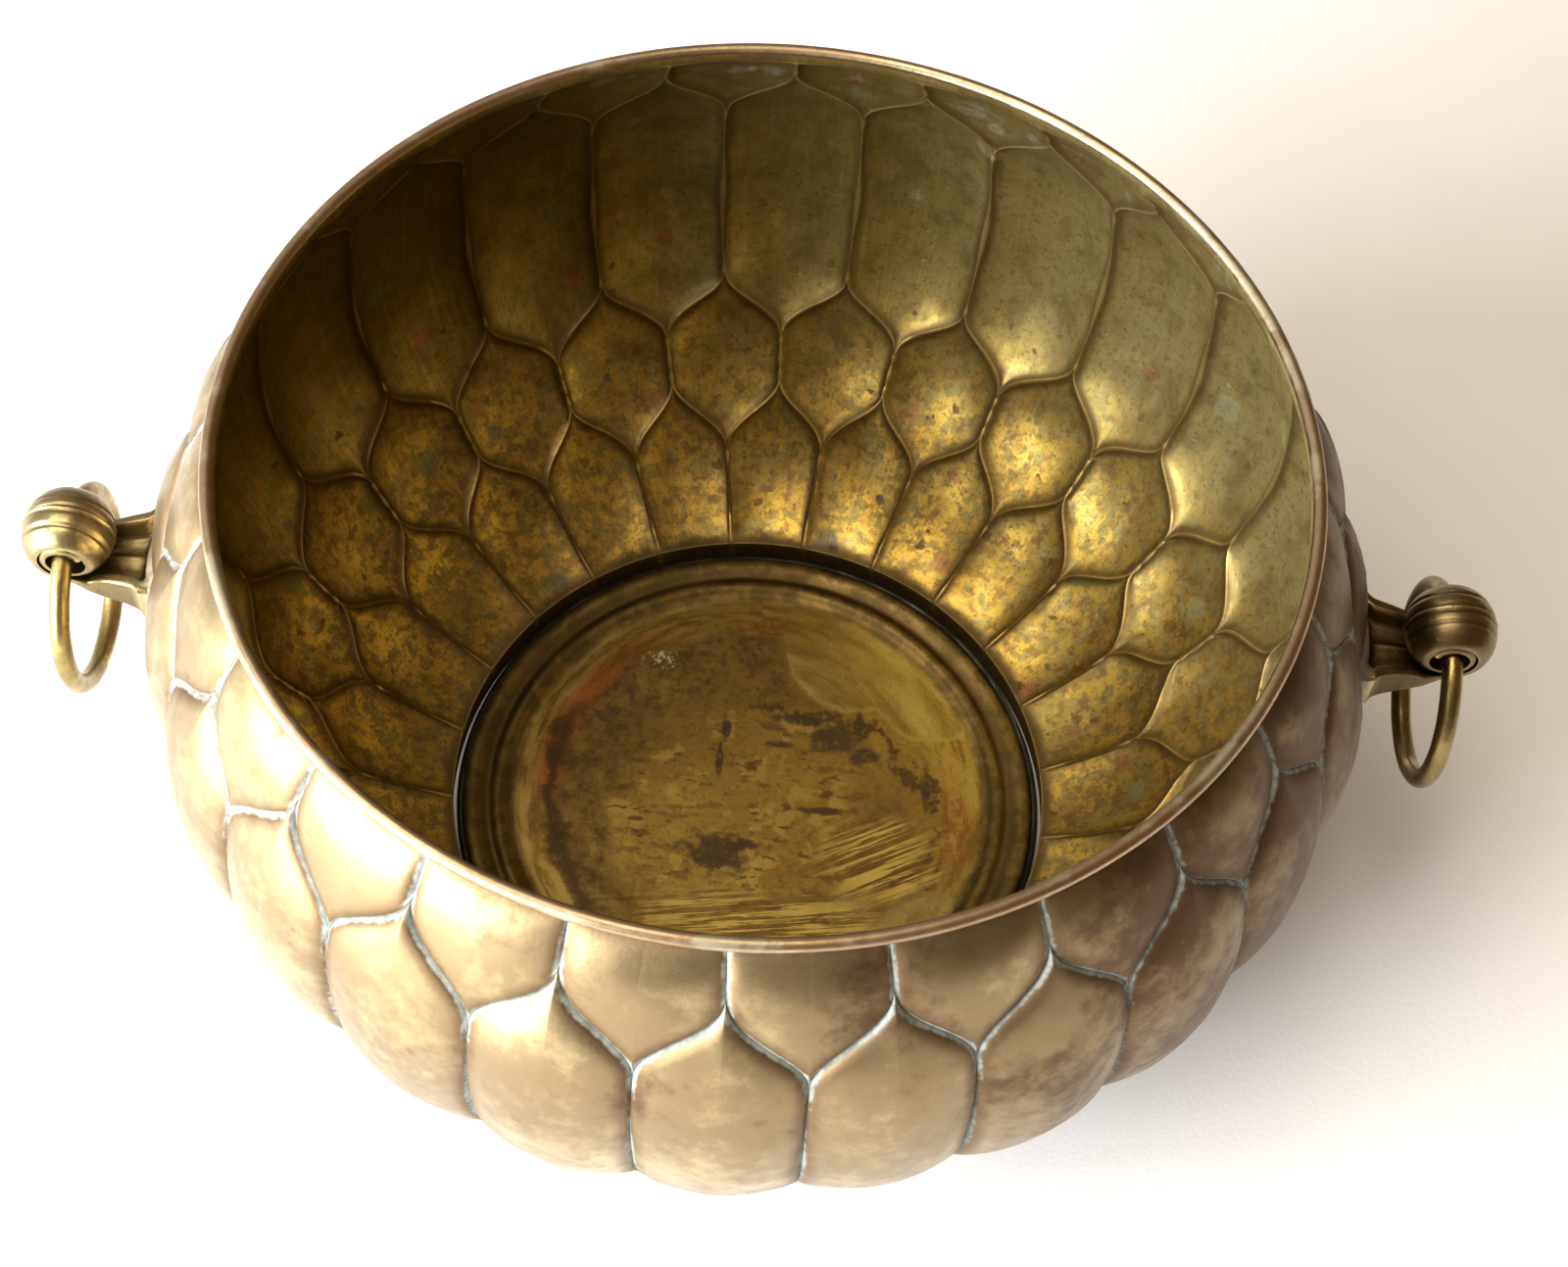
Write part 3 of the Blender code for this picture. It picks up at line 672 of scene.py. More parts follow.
dish_loops = [dish_hoop(r, z, 0.0 if r > 81.7 else 0.5) for r, z in lip]
dish_loops += [dish_hoop(r, FLOOR_Z, 1.0) for r in floor_radii]
top_count = len(dish_loops)
dish_loops += [dish_hoop(r, z, 0.0) for r, z in [(20.0, UNDER_Z)] + under]
dish_points = np.concatenate(dish_loops + [np.array([[0, 0, FLOOR_Z]]), np.array([[0, 0, UNDER_Z]])])
last_top = (top_count - 1) * DISH_STEPS
first_low = top_count * DISH_STEPS
dish_faces = band_faces(len(dish_loops), DISH_STEPS)
del dish_faces[last_top:first_low]                      # fans close the middles instead
for i in range(DISH_STEPS):
    n = (i + 1) % DISH_STEPS
    dish_faces.append((last_top + i, last_top + n, len(dish_points) - 2))
    dish_faces.append((first_low + n, first_low + i, len(dish_points) - 1))

# one blot of stain: an oval with a wavering edge, in millimetres on the floor
blot, given, made = effect(
    "stain_blot",
    [("Position", "Vector", None), ("Centre", "Vector", None), ("Reach", "Vector", None),
     ("Waver", "Float", 0.15), ("Ripple", "Float", 60.0), ("Softness", "Float", 0.05)],
    [("Mask", "Float"), ("Edge", "Float")])
off = vector(blot, "SUBTRACT", given["Position"], given["Centre"])
off = vector(blot, "DIVIDE", off, given["Reach"])
off = vector(blot, "MULTIPLY", off, (1, 1, 0))
span = put(blot, "VectorMath", {0: off}, operation="LENGTH").outputs["Value"]
shiver = grain(blot, given["Position"], given["Ripple"], 7.0, 0.68)
shiver = times(blot, sums(blot, "SUBTRACT", shiver, 0.5), given["Waver"])
span = sums(blot, "ADD", span, times(blot, shiver, 2.0))
blot.links.new(fade(blot, span, sums(blot, "ADD", 1.0, given["Softness"]),
                    sums(blot, "SUBTRACT", 1.0, given["Softness"])), made["Mask"])
rim_line = sums(blot, "ABSOLUTE", sums(blot, "SUBTRACT", span, 1.0))
blot.links.new(fade(blot, rim_line, 0.07, 0.01), made["Edge"])


def dish_finish():
    mat, tree, shader, where = new_metal("dish_brass")

    def stain(x, y, reach_x, reach_y, waver_by=0.15, ripple=60.0, soft=0.05):
        return use(tree, blot, {"Position": where, "Centre": (x * MM, y * MM, 0),
                                "Reach": (reach_x * MM, reach_y * MM, 1),
                                "Waver": waver_by, "Ripple": ripple, "Softness": soft})

    middle = vector(tree, "MULTIPLY", where, (1, 1, 0))
    away = put(tree, "VectorMath", {0: middle}, operation="LENGTH").outputs["Value"]
    metal = brass_in(tree, where, 26.0, 0.40,
                     (0.40, 0.27, 0.05, 1), (0.28, 0.178, 0.032, 1), (0.13, 0.074, 0.016, 1))
    colour = metal["Colour"]
    fine = grain(tree, where, 520.0, 6.0, 0.75)
    colour = blend(tree, fade(tree, fine, 0.50, 0.36, 0.0, 0.6), colour, (0.15, 0.088, 0.022, 1))
    # streaks left round the edge by wiping
    sides = put(tree, "SeparateXYZ", {0: where})
    east_x, north_y = sides.outputs["X"], sides.outputs["Y"]
    swing = sums(tree, "ARCTAN2", east_x, times(tree, north_y, -1.0))
    circling = put(tree, "CombineXYZ", {"X": away, "Y": times(tree, swing, 0.010)}).outputs[0]
    round_marks = grain(tree, circling, 260.0, 5.0, 0.7)
    outer_ring = fade(tree, away, 0.050, 0.060)
    colour = tint(tree, colour, (0.44, 0.33, 0.09, 1), outer_ring, fade(tree, round_marks, 0.44, 0.62),
                  0.6)
    colour = tint(tree, colour, (0.15, 0.085, 0.022, 1), outer_ring, fade(tree, round_marks, 0.52, 0.38),
                  0.75)
    # red copper shows in an arc on the left, where the zinc has gone
    arc = times(tree, fade(tree, away, 0.051, 0.056), fade(tree, away, 0.064, 0.059),
                fade(tree, east_x, -0.026, -0.038), fade(tree, north_y, -0.012, 0.004))
    colour = tint(tree, colour, (0.36, 0.10, 0.022, 1), arc, fade(tree, round_marks, 0.36, 0.52), 0.85)
    torn = fade(tree, grain(tree, where, 330.0, 6.0, 0.75), 0.40, 0.56)
    for x, y, reach_x, reach_y in ((30, -12, 6, 2.6), (22, -23, 13, 3.0), (59, -8, 4, 14), (3, 58, 9, 3)):
        copper = stain(x, y, reach_x, reach_y, 1.3, 80, 0.45)
        colour = tint(tree, colour, (0.29, 0.085, 0.020, 1), copper["Mask"], torn, 0.75)
    # the great tide stain: crisp outside, fading inward to the rubbed gold field
    outer = stain(-2, 0, 57, 53, 0.20, 40, 0.03)
    field = stain(1, -8, 40, 39, 0.45, 44, 0.04)
    field_soft = stain(2, -8, 38, 38, 0.50, 44, 0.26)
    right_top = fade(tree, sums(tree, "ADD", east_x, times(tree, north_y, 0.6)), 0.026, 0.052)
    dark = times(tree, outer["Mask"], sums(tree, "SUBTRACT", 1.0, field_soft["Mask"]),
                 between(tree, right_top, 1.0, 0.35))
    mottled = fade(tree, grain(tree, where, 170.0, 6.0, 0.75), 0.36, 0.60, 1.0, 0.45)
    colour = tint(tree, colour, (0.075, 0.045, 0.018, 1), dark, mottled, 0.95)
    tide = stain(8, -8, 46, 36, 0.45, 75, 0.05)
    north_east = fade(tree, sums(tree, "ADD", east_x, times(tree, north_y, 0.6)), 0.006, 0.022)
    broken = fade(tree, grain(tree, where, 95.0, 5.0, 0.7), 0.38, 0.46)
    colour = tint(tree, colour, (0.062, 0.038, 0.017, 1), tide["Edge"], north_east, broken, 0.85)
    crescent = times(tree, outer["Edge"], fade(tree, east_x, -0.030, -0.046),
                     fade(tree, north_y, 0.034, 0.016))
    colour = tint(tree, colour, (0.050, 0.030, 0.014, 1), crescent, 0.85)
    # gold field: brown cracks and flecks
    level = vector(tree, "MULTIPLY", where, (0.4, 1, 1))
    fleck = patches_in(tree, level, 2.6, 0.42, 0.03)
    big_fleck = patches_in(tree, where, 15.0, 0.47, 0.05)
    bright_fleck = patches_in(tree, where, 8.0, 0.42, 0.05)
    colour = tint(tree, colour, (0.46, 0.32, 0.068, 1), field["Mask"], bright_fleck, 0.6)
    colour = tint(tree, colour, (0.10, 0.058, 0.02, 1), field["Mask"], fleck, big_fleck, 0.85)
    colour = tint(tree, colour, (0.15, 0.088, 0.026, 1), field["Mask"], fleck, 0.62)
    # the pale scalloped film, top right
    film_a = stain(28, 56, 21, 26, 0.20, 30, 0.02)
    film_b = stain(51, 43, 18, 21, 0.22, 30, 0.02)
    film_c = stain(46, -37, 21, 11, 0.35, 30, 0.03)
    edge_a = times(tree, film_a["Edge"], sums(tree, "SUBTRACT", 1.0, film_b["Mask"]))
    edge_b = times(tree, film_b["Edge"], sums(tree, "SUBTRACT", 1.0, film_a["Mask"]))
    film_edge = sums(tree, "MAXIMUM", edge_a, edge_b)
    film = sums(tree, "MAXIMUM", sums(tree, "MAXIMUM", film_a["Mask"], film_b["Mask"]), film_c["Mask"])
    film_tone = fade(tree, grain(tree, circling, 150.0, 6.0, 0.7), 0.34, 0.66)
    film_colour = blend(tree, film_tone, (0.25, 0.165, 0.035, 1), (0.50, 0.39, 0.12, 1))
    colour = tint(tree, colour, film_colour, film, 0.72)
    lower_side = fade(tree, north_y, 0.048, 0.040)
    colour = tint(tree, colour, (0.48, 0.37, 0.11, 1), film_edge, lower_side, 0.4)
    # dark blots: one large near the middle, and broken lines along the tide mark
    ragged_dark = fade(tree, grain(tree, where, 300.0, 6.0, 0.75), 0.36, 0.46, 0.35, 1.0)
    blots = ((-7, -20, 9, 4.6), (1, -16.5, 5, 1.6), (-8, 21, 1.2, 3), (-9, 11, 0.9, 5),
             (8, 17, 4, 1.0), (31, 26, 1.0, 3.5), (13, 26, 6, 1.5), (23, 20, 6, 3.4),
             (33, 15, 4, 2.0), (51, 5, 1.2, 6), (20, -4, 7, 1.0))
    for x, y, reach_x, reach_y in blots:
        spot = stain(x, y, reach_x * 1.15, reach_y * 1.2, 1.5, 170, 0.35)
        colour = tint(tree, colour, (0.068, 0.045, 0.024, 1), spot["Mask"], ragged_dark, 0.9)
    # scouring marks that have cut back to bright brass
    lift = 0.0
    for lean, x, y, reach_x, reach_y in ((27, 38, -19, 17, 13), (8, 8, -39, 34, 8)):
        turned_by = put(tree, "VectorRotate", {"Vector": where, "Angle": math.radians(-lean)},
                        rotation_type="Z_AXIS").outputs[0]
        drawn = vector(tree, "MULTIPLY", turned_by, (0.045, 1, 1))
        hairs = use(tree, scuffs, {"Along": drawn, "Fineness": 620.0, "Cover": 0.85})
        place = stain(x, y, reach_x, reach_y, 0.7, 90, 0.4)["Mask"]
        colour = tint(tree, colour, (0.13, 0.075, 0.022, 1), place, 0.55)
        colour = tint(tree, colour, (0.56, 0.40, 0.095, 1), hairs["Mask"], place, 0.9)
        lift = sums(tree, "ADD", lift, times(tree, hairs["Height"], place, 0.2))
    # white lime specks and the darker groove between the two beads
    lime = times(tree, stain(-29, 43, 5.5, 3.5, 0.6, 150, 0.3)["Mask"],
                 fade(tree, grain(tree, where, 700.0, 2.0), 0.55, 0.62))
    colour = tint(tree, colour, (0.50, 0.46, 0.36, 1), lime, 0.8)
    on_lip = fade(tree, away, 0.0655, 0.0685)
    colour = tint(tree, colour, (0.115, 0.072, 0.020, 1), on_lip, 0.85)
    gutter = times(tree, fade(tree, away, 0.0720, 0.0745), fade(tree, away, 0.0775, 0.0755))
    colour = tint(tree, colour, (0.07, 0.042, 0.016, 1), gutter, 0.7)
    lip_dirt = patches_in(tree, where, 6.0, 0.5, 0.05)
    colour = tint(tree, colour, (0.072, 0.050, 0.015, 1), on_lip, lip_dirt, 0.75)
    rough = sums(tree, "ADD", metal["Roughness"], times(tree, dark, 0.12))
    rough = sums(tree, "SUBTRACT", rough, times(tree, film, 0.08))
    rough = sums(tree, "ADD", rough, times(tree, on_lip, 0.16), True)
    # Painted shade: the outer edge of the lip, where it is let into the narrow gap inside the foot collar,
    # is darkened nearly to black.
    let_in_painted_shade = fade(tree, away, 0.0812, 0.0818)
    colour = tint(tree, colour, (0.035, 0.022, 0.010, 1), let_in_painted_shade, 0.9)
    uneven = times(tree, grain(tree, where, 180.0, 4.0, 0.6), 0.6)
    height_mix = sums(tree, "ADD", uneven, times(tree, film, 0.12))
    height_mix = sums(tree, "ADD", height_mix, lift)
    metallic = sums(tree, "SUBTRACT", 0.88, times(tree, lime, 0.8))
    finish_metal(tree, shader, colour, rough, metallic, height_mix, 0.35, 0.0004)
    return mat


dish = make_mesh("floor_dish", dish_points, dish_faces, [dish_finish()], 35.0)
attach(dish, "pot")
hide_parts("base_dish")

# ======================================================
# Solder.  A run of soft grey solder, wiped round the joint between collar and dish from
# below, lumpy where the iron stopped.
# ======================================================
SEAM_STEPS = 216
seam_turn = 2 * math.pi * np.arange(SEAM_STEPS) / SEAM_STEPS
seam_section = [(82.1, 1.2), (83.4, 1.2), (83.4, 2.8), (83.0, 2.35), (82.5, 2.0), (82.1, 1.9)]
seam_loops = []
for r, z in seam_section:
    round_line = np.stack([r * np.cos(seam_turn), r * np.sin(seam_turn), np.full(SEAM_STEPS, z)], -1)
    if r < 83.3 and z > 1.3:
        round_line[:, 2] += 0.25 * waver(round_line, 5, 8)
    seam_loops.append(round_line)
seam_faces = band_faces(len(seam_loops), SEAM_STEPS)
solder_mat, tree, shader, where = new_metal("grey_solder", 0.5)
solder_metal = brass_in(tree, where, 7.0, 0.45,
                        (0.30, 0.29, 0.27, 1), (0.19, 0.18, 0.16, 1), (0.09, 0.08, 0.065, 1))
finish_metal(tree, shader, solder_metal["Colour"], solder_metal["Roughness"], None,
             grain(tree, where, 500.0, 4.0), 0.5, 0.0003)
solder = make_mesh("solder_run", np.concatenate(seam_loops), seam_faces, [solder_mat], 60.0)
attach(solder, "pot")
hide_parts("base_seam_solder")

# ======================================================
# Handle brackets.  Cast brass, one on each side: a short leaf-shaped arm with raised
# side walls and a low middle rib, whose tip rolls up into a turned, ribbed scroll.
# ======================================================
AXIS_R = 173.8
AXIS_Z = 111.8
SCROLL_R = 11.5
SCROLL_HALF = 9.4
STRIP = 2.4
INNER_R = 8.3
SCROLL_LINES = ((-0.42, 0.55), (-0.10, 0.75), (0.08, 0.55), (0.50, 0.85))
ARM = ((-18.9, -17.2, -8.0, -3.9, 13.6), (-17.2, -16.4, -9.2, -4.2, 12.0), (-13.5, -15.6, -9.5, -4.7, 10.9),
       (-9.0, -14.9, -9.9, -5.8, 10.0), (-5.0, -13.5, -10.4, -7.6, 9.6))
PAD_HALF = 14.6
PAD_GAP = 0.05
BARREL = 0.51                                           # the scroll's ends are sqrt(1 - BARREL)
END_CLOSING = 0.10                                      # of its middle, closed in by this share
CUT_DEPTH = 0.55
across_line = np.sin(np.linspace(-1, 1, 57) * math.pi / 2)


def corner(u):
    """Rounds the long edges: 0 along the middle, 1 at the very edge."""
    t = np.clip((np.abs(u) - 0.90) / 0.10, 0, 1)
    return 1 - np.sqrt(np.maximum(0, 1 - t * t))


def scroll_lines(u):
    """Fine turned lines round the scroll, with a soft bead between the middle two."""
    cut = sum(depth * np.exp(-((u - place) / 0.045) ** 2) for place, depth in SCROLL_LINES)
    return cut - 0.35 * np.exp(-((u + 0.01) / 0.05) ** 2)


def bracket_points():
    u = across_line
    sections = []
    for lift in (0.0, 0.7, 1.5, 2.3):
        soft = 0.5 * (lift / 2.3) ** 2
        y = PAD_HALF * u * (1 - 0.04 * lift)
        z_low = -18.2 + 4.6 * u ** 4 + soft
        z_high = -3.4 - 1.6 * u ** 4 - soft
        off_wall = PAD_GAP + lift - AXIS_R
        low = [(wall_x(a, AXIS_Z + b) + off_wall, a, b) for a, b in zip(y, z_low)]
        high = [(wall_x(a, AXIS_Z + b) + off_wall, a, b) for a, b in zip(y, z_high)]
        sections.append(low + high[::-1])
    for x, z_under, z_floor, z_top, half in smooth_line(ARM, 5, np.array):
        rounded = 0.9 * corner(u)
        low = np.stack([np.full_like(u, x), half * u, z_under + 1.6 * np.abs(u) ** 6 + rounded], -1)
        wall = np.clip((np.abs(u) - 0.55) / 0.22, 0, 1)
        wall = wall * wall * (3 - 2 * wall)
        rib = 0.75 * np.exp(-(u / 0.09) ** 2) - 0.45 * np.exp(-((np.abs(u) - 0.30) / 0.16) ** 2)
        top = z_floor + (z_top - z_floor) * wall + rib * (1 - wall) - 0.8 * rounded
        high = np.stack([np.full_like(u, x), half * u * 0.99, top], -1)
        sections.append(np.concatenate([low, high[::-1]]))
    wrap = [(d, SCROLL_R) for d in range(0, 271, 9)]
    wrap += [(d, SCROLL_R + (INNER_R - SCROLL_R) * (0.5 - 0.5 * math.cos(math.pi * (d - 270) / 90)))
             for d in range(279, 361, 9)]
    wrap += [(d, INNER_R) for d in range(372, 613, 12)]
    bulge = np.sqrt(1 - BARREL * u * u) * (1 - END_CLOSING * np.abs(u) ** 6)
    for degrees, rho in wrap:
        a = math.radians(degrees)
        show = min(1.0, max(0.0, (degrees - 12) / 50))
        lines = scroll_lines(u) * show * (1.0 if degrees < 300 else 0.0)
        r_out = rho * bulge - 0.42 * corner(u) - CUT_DEPTH * lines
        r_in = (rho - STRIP) * bulge + 0.34 * corner(u)
        y = SCROLL_HALF * u
        low = np.stack([r_out * math.sin(a), y, -r_out * math.cos(a)], -1)
        high = np.stack([r_in * math.sin(a), y, -r_in * math.cos(a)], -1)
        sections.append(np.concatenate([low, high[::-1]]))
    return np.array(sections)


def bracket_finish():
    """Cast brass, handled and greenish grey, with salts where it meets the bowl."""
    mat, tree, shader, where = new_metal("bracket_brass")
    metal = brass_in(tree, where, 14.0, 0.50,
                     (0.42, 0.35, 0.17, 1), (0.26, 0.20, 0.095, 1), (0.12, 0.075, 0.045, 1))
    parts = put(tree, "SeparateXYZ", {0: where})
    # Painted shade: the bracket on the +X side, turned away from the window, is blended toward dark brown.
    colour = blend(tree, fade(tree, parts.outputs["X"], 0.0, 0.1, 0.0, 0.62), metal["Colour"],
                   (0.092, 0.054, 0.021, 1))
    out_by = sums(tree, "ABSOLUTE", parts.outputs["X"])
    joint = fade(tree, out_by, 0.1548, 0.1526)
    patch = patches_in(tree, where, 5.0, 0.55, 0.1)
    grime = spots_in(tree, where, 3.0, 0.22, 0.35)
    hollow = put(tree, "NewGeometry").outputs["Pointiness"]
    crevice = fade(tree, hollow, 0.495, 0.44)
    proud = fade(tree, hollow, 0.505, 0.56)
    colour = tint(tree, colour, (0.12, 0.075, 0.04, 1), grime, 0.4)
    colour = tint(tree, colour, (0.14, 0.10, 0.065, 1), crevice, 0.7)
    colour = tint(tree, colour, (0.66, 0.52, 0.25, 1), proud, 0.5)
    salt = times(tree, joint, patch)
    colour = tint(tree, colour, (0.27, 0.31, 0.29, 1), salt, 0.5)
    rough = sums(tree, "ADD", metal["Roughness"], times(tree, salt, 0.3), True)
    height_mix = sums(tree, "ADD", times(tree, grain(tree, where, 420.0, 4.0, 0.6), 0.7),
                      times(tree, grime, -0.3))
    finish_metal(tree, shader, colour, rough, sums(tree, "SUBTRACT", 1.0, times(tree, salt, 0.8)),
                 height_mix, 0.45, 0.0003)
    return mat


bracket_mat = bracket_finish()
profile_points = bracket_points()
section_count, edge_count = profile_points.shape[:2]
strip_count = len(across_line)
bracket_faces = band_faces(section_count, edge_count, closed=False)
for end in (0, (section_count - 1) * edge_count):
    for j in range(strip_count - 1):
        bracket_faces.append((end + j, end + j + 1, end + edge_count - 2 - j, end + edge_count - 1 - j))
for name, side in (("right", 1.0), ("left", -1.0)):
    placed = (profile_points.reshape(-1, 3) + (AXIS_R, 0, AXIS_Z)) * (side, side, 1)
    bracket = make_mesh("scroll_bracket_" + name, placed, bracket_faces, [bracket_mat], 50.0)
    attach(bracket, "pot")
    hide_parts("bracket_" + name)

# ======================================================
# Screws and washers.  One brass round-head screw holds each bracket from inside the bowl,
# over a plain stamped washer.
# ======================================================
SCREW_Z = -13.3
TURN_STEPS = 48
HEAD_R, HEAD_H = 3.9, 2.5
SHANK_R = 2.0
SLOT = (2.4, 12, 0.9)                                   # depth, length and width of the cut


def fastener_finish():
    mat, tree, shader, where = new_metal("screw_brass")
    metal = brass_in(tree, where, 5.0, 0.55,
                     (0.60, 0.46, 0.20, 1), (0.40, 0.30, 0.13, 1), (0.16, 0.11, 0.06, 1))
    ragged = patches_in(tree, where, 2.5, 0.35, 0.06)
    colour = tint(tree, metal["Colour"], (0.20, 0.26, 0.18, 1), ragged, 0.6)
    finish_metal(tree, shader, colour, metal["Roughness"], None, grain(tree, where, 1500.0, 3.0),
                 0.4, 0.0002)
    return mat


def turned(name, outline, steps, place, side, mat):
    """A body turned about the X axis from (radius, along) points; a radius of 0 closes an end."""
    verts, faces, rings = [], [], []
    for r, h in outline:
        if r == 0:
            rings.append([len(verts)])
            verts.append((h, 0.0, 0.0))
        else:
            rings.append(list(range(len(verts), len(verts) + steps)))
            verts += [(h, r * math.cos(2 * math.pi * i / steps), r * math.sin(2 * math.pi * i / steps))
                      for i in range(steps)]
    closed = outline[0][0] != 0
    for j in range(len(rings) - (0 if closed else 1)):
        a, b = rings[j], rings[(j + 1) % len(rings)]
        for i in range(steps):
            quad = [a[i % len(a)], a[(i + 1) % len(a)], b[(i + 1) % len(b)], b[i % len(b)]]
            faces.append(tuple(dict.fromkeys(quad)))
    points = (np.array(verts) + place) * (side, side, 1)
    return make_mesh(name, points, faces, [mat], 35.0)


fastener_mat = fastener_finish()
for name, side in (("right", 1.0), ("left", -1.0)):
    low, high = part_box("washer_" + name)
    inner_face = min(abs(low.x), abs(high.x)) / MM
    outer_face = max(abs(low.x), abs(high.x)) / MM
    centre = (0, 0, AXIS_Z + SCREW_Z)
    washer = turned("bracket_washer_" + name,
                    [(2.35, inner_face + 0.1), (4.8, inner_face), (5.0, inner_face + 0.15),
                     (5.0, outer_face - 0.1), (4.9, outer_face), (2.3, outer_face)],
                    TURN_STEPS, centre, side, fastener_mat)
    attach(washer, "pot")
    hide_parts("washer_" + name)
    low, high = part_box("screw_" + name)
    head_top = min(abs(low.x), abs(high.x)) / MM
    tip = max(abs(low.x), abs(high.x)) / MM
    head_foot = head_top + HEAD_H
    dome = [(0, head_top)]
    dome += [(HEAD_R * math.sin(a), head_foot - HEAD_H * math.cos(a))
             for a in np.linspace(0.12, math.pi / 2, 10)]
    dome += [(3.8, head_foot + 0.05), (SHANK_R, head_foot + 0.05), (SHANK_R, tip - 0.5),
             (1.6, tip), (0, tip)]
    screw = turned("bracket_screw_" + name, dome, TURN_STEPS, centre, side, fastener_mat)
    slot_box = bmesh.new()
    bmesh.ops.create_cube(slot_box, size=1.0)
    slot_mesh = bpy.data.meshes.new("slot_cut")
    slot_box.to_mesh(slot_mesh)
    slot_box.free()
    cutter = bpy.data.objects.new("slot_cut", slot_mesh)
    bpy.context.scene.collection.objects.link(cutter)
    cutter.scale = (SLOT[0] * MM, SLOT[1] * MM, SLOT[2] * MM)
    cutter.location = (side * (head_top + 0.1) * MM, 0, (AXIS_Z + SCREW_Z) * MM)
    cutter.rotation_euler = (math.radians(24 if side > 0 else -50), 0, 0)
    cut = screw.modifiers.new("slot", "BOOLEAN")
    cut.operation = "DIFFERENCE"
    cut.solver = "EXACT"
    cut.object = cutter
    bpy.context.view_layer.update()
    shaped = bpy.data.meshes.new_from_object(screw.evaluated_get(bpy.context.evaluated_depsgraph_get()))
    screw.modifiers.clear()
    screw.data = shaped
    bpy.data.objects.remove(cutter, do_unlink=True)
    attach(screw, "pot")
    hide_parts("screw_" + name)

# ======================================================
# Drop rings.  Round brass wire bent to a ring and brazed shut inside the scroll; it is rubbed
# brighter in patches and spotted with grime.
# ======================================================
RING_R = 25.0
RING_WIRE = 2.6
RING_SIT = 0.95                                         # the wire's middle above the hinge axis
RING_STEPS, WIRE_STEPS = 180, 28


def ring_finish():
    mat, tree, shader, where = new_metal("ring_brass")
    metal = brass_in(tree, where, 12.0, 0.40,
                     (0.44, 0.35, 0.13, 1), (0.27, 0.205, 0.08, 1), (0.12, 0.08, 0.04, 1))
    grime = spots_in(tree, where, 2.6, 0.24, 0.35)
    # Painted shade: the ring on the +X side, turned away from the window, is blended toward dark brown.
    right_ring_painted_shade = fade(tree, put(tree, "SeparateXYZ", {0: where}).outputs["X"], 0.0, 0.1, 0.0, 0.5)
    colour = blend(tree, right_ring_painted_shade, metal["Colour"], (0.15, 0.105, 0.04, 1))
    colour = tint(tree, colour, (0.12, 0.075, 0.035, 1), grime, 0.45)
    worn = patches_in(tree, where, 9.0, 0.42, 0.08)
    colour = tint(tree, colour, (0.50, 0.37, 0.13, 1), worn, 0.4)
    rough = sums(tree, "SUBTRACT", metal["Roughness"], times(tree, worn, 0.05))
    finish_metal(tree, shader, colour, rough, None, grain(tree, where, 500.0, 4.0, 0.6), 0.4, 0.0003)
    return mat


ring_mat = ring_finish()
for name, side in (("right", 1.0), ("left", -1.0)):
    verts, faces = [], []
    for i in range(RING_STEPS):
        a = 2 * math.pi * i / RING_STEPS
        for j in range(WIRE_STEPS):
            b = 2 * math.pi * j / WIRE_STEPS
            r = RING_R + RING_WIRE * math.cos(b)
            verts.append((RING_WIRE * math.sin(b), r * math.sin(a), RING_SIT - RING_R + r * math.cos(a)))
            n, m = (i + 1) % RING_STEPS, (j + 1) % WIRE_STEPS
            faces.append((i * WIRE_STEPS + j, n * WIRE_STEPS + j, n * WIRE_STEPS + m, i * WIRE_STEPS + m))
    points = np.array(verts)
    points += 0.05 * waver(points + side * 40, 7, 9)[:, None]
    placed = (points + (AXIS_R, 0, AXIS_Z)) * (side, side, 1)
    drop = make_mesh("drop_ring_" + name, placed, faces, [ring_mat], 60.0)
    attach(drop, "drop_ring_" + name)
    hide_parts("ring_" + name)

# ======================================================
# Table, light and camera.
# ======================================================
TABLE_HALF = 6.0                                        # metres, as are the lights and the camera
TABLE_Z = -0.0003
corners = [(-TABLE_HALF, -TABLE_HALF), (TABLE_HALF, -TABLE_HALF),
           (TABLE_HALF, TABLE_HALF), (-TABLE_HALF, TABLE_HALF)]
table_mesh = bpy.data.meshes.new("pale_table")
table_mesh.from_pydata([(x, y, TABLE_Z) for x, y in corners], [], [(0, 1, 2, 3)])
table_mat = bpy.data.materials.new("pale_table")
table_mat.use_nodes = True
tree = table_mat.node_tree
shader = tree.nodes["Principled BSDF"]
shader.inputs["Roughness"].default_value = 0.75
shader.inputs["Specular IOR Level"].default_value = 0.2
where = tree.nodes.new("ShaderNodeTexCoord").outputs["Object"]
cloudy = fade(tree, grain(tree, where, 14.0, 3.0), 0.3, 0.7)
tree.links.new(blend(tree, cloudy, (0.90, 0.895, 0.88, 1), (0.93, 0.925, 0.915, 1)),
               shader.inputs["Base Color"])
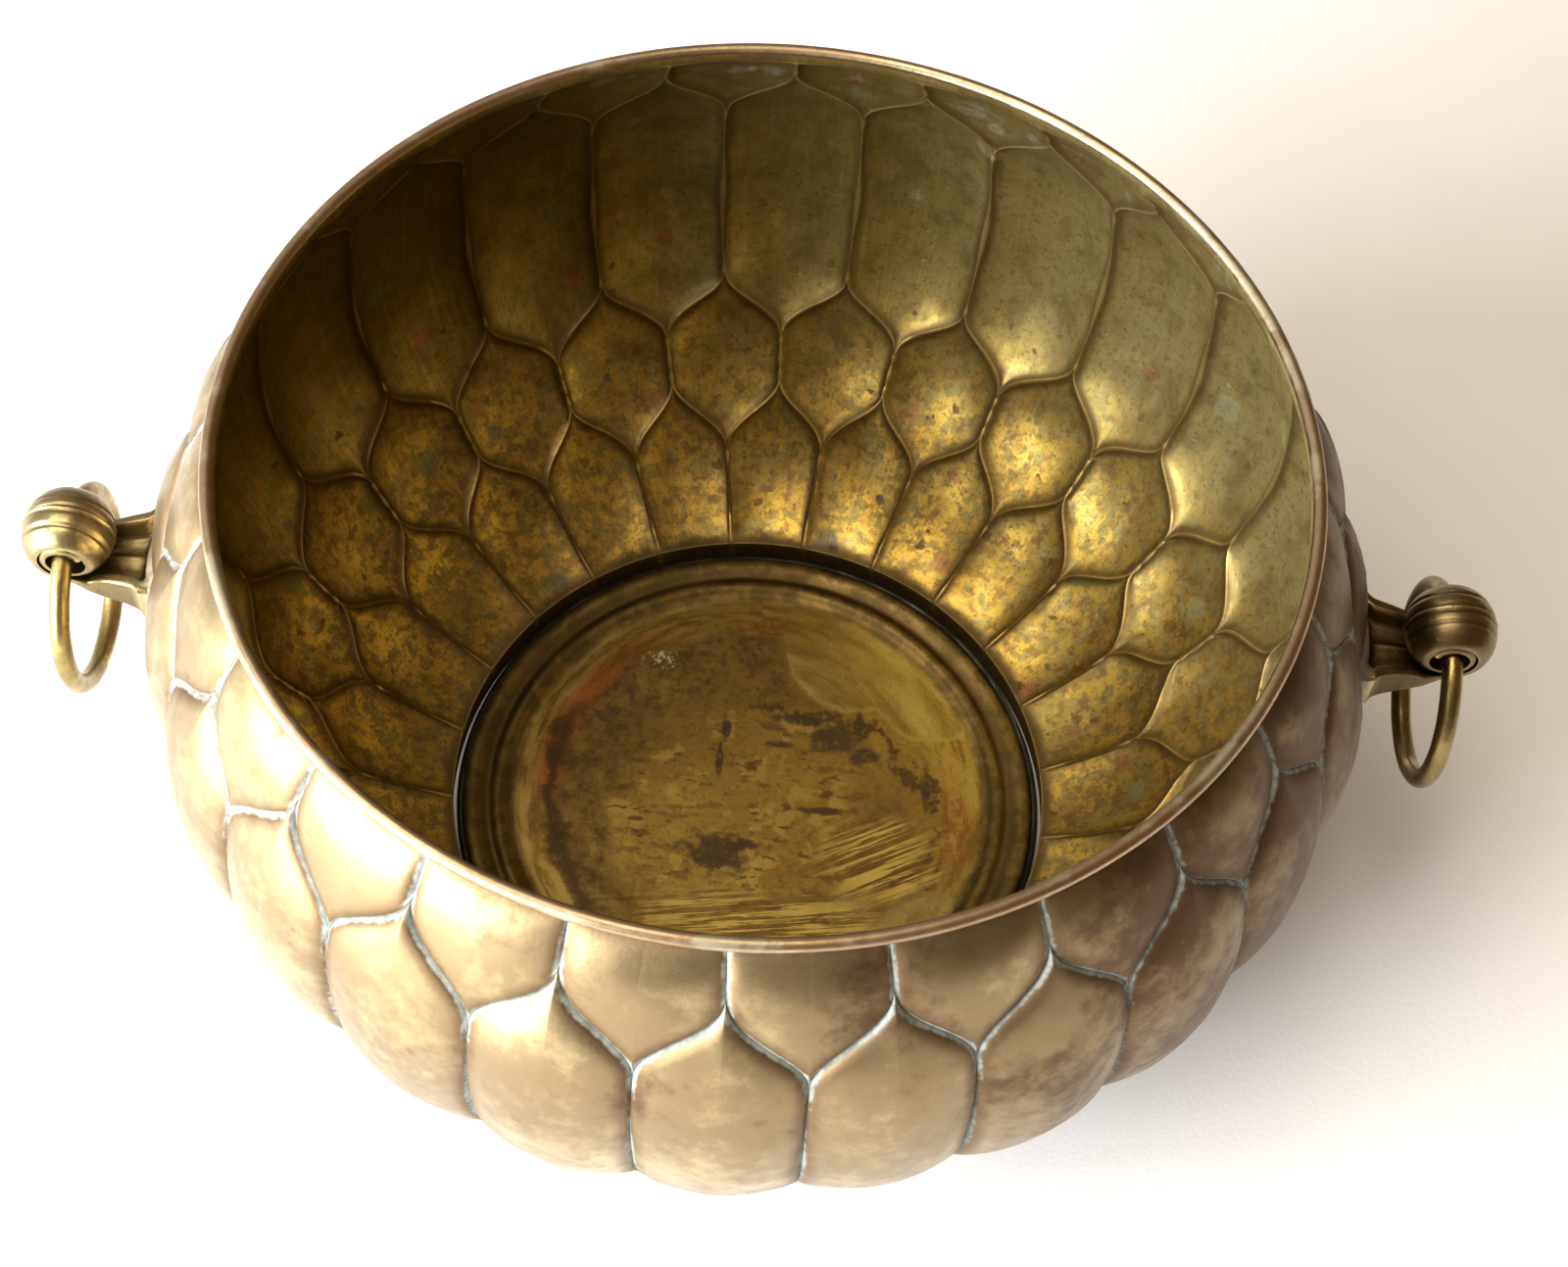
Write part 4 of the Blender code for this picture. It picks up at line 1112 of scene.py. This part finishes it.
weave = put(tree, "Bump", {"Height": grain(tree, where, 700.0, 3.0), "Strength": 0.12, "Distance": 0.0004})
tree.links.new(weave.outputs[0], shader.inputs["Normal"])
table_top = bpy.data.objects.new("pale_table", table_mesh)
table_mesh.materials.append(table_mat)
bpy.context.scene.collection.objects.link(table_top)


def soft_light(name, place, target, size, power, colour):
    lamp = bpy.data.lights.new(name, "AREA")
    lamp.shape = "RECTANGLE"
    lamp.size, lamp.size_y = size
    lamp.energy = power
    lamp.color = colour
    holder = bpy.data.objects.new(name, lamp)
    bpy.context.scene.collection.objects.link(holder)
    holder.location = place
    holder.rotation_euler = (Vector(target) - Vector(place)).to_track_quat("-Z", "Y").to_euler()


soft_light("window", (-1.10, -0.68, 0.50), (0, 0, 0.10), (1.1, 0.9), 74.0, (0.97, 0.98, 1.0))
soft_light("ceiling", (-0.5, -0.1, 1.7), (0, 0, 0), (1.2, 1.2), 18.0, (1.0, 0.89, 0.72))

world = bpy.data.worlds.new("room")
bpy.context.scene.world = world
world.use_nodes = True
sky = world.node_tree
back = sky.nodes["Background"]
way = sky.nodes.new("ShaderNodeTexCoord").outputs["Generated"]
sideways = put(sky, "SeparateXYZ", {0: way}).outputs["X"]
room = blend(sky, fade(sky, sideways, -0.9, 0.5), (0.70, 0.69, 0.66, 1), (0.20, 0.125, 0.06, 1))
seen = put(sky, "LightPath").outputs["Is Camera Ray"]
sky.links.new(blend(sky, seen, room, (0.86, 0.86, 0.85, 1)), back.inputs["Color"])
back.inputs["Strength"].default_value = 1.0

camera_data = bpy.data.cameras.new("camera")
camera_data.sensor_width = 36.0
camera_data.lens = 57.04
camera_data.dof.use_dof = False
camera = bpy.data.objects.new("camera", camera_data)
bpy.context.scene.collection.objects.link(camera)
right = Vector((0.99751008, 0.05908453, 0.03850529))
up = Vector((-0.07052403, 0.83570681, 0.54462876))
backward = right.cross(up)
camera.matrix_world = Matrix.Translation((0.00698, -0.35097, 0.62769)) @ Matrix(
    (right, up, backward)).transposed().to_4x4()
bpy.context.scene.camera = camera
bpy.context.scene.view_settings.view_transform = "Standard"
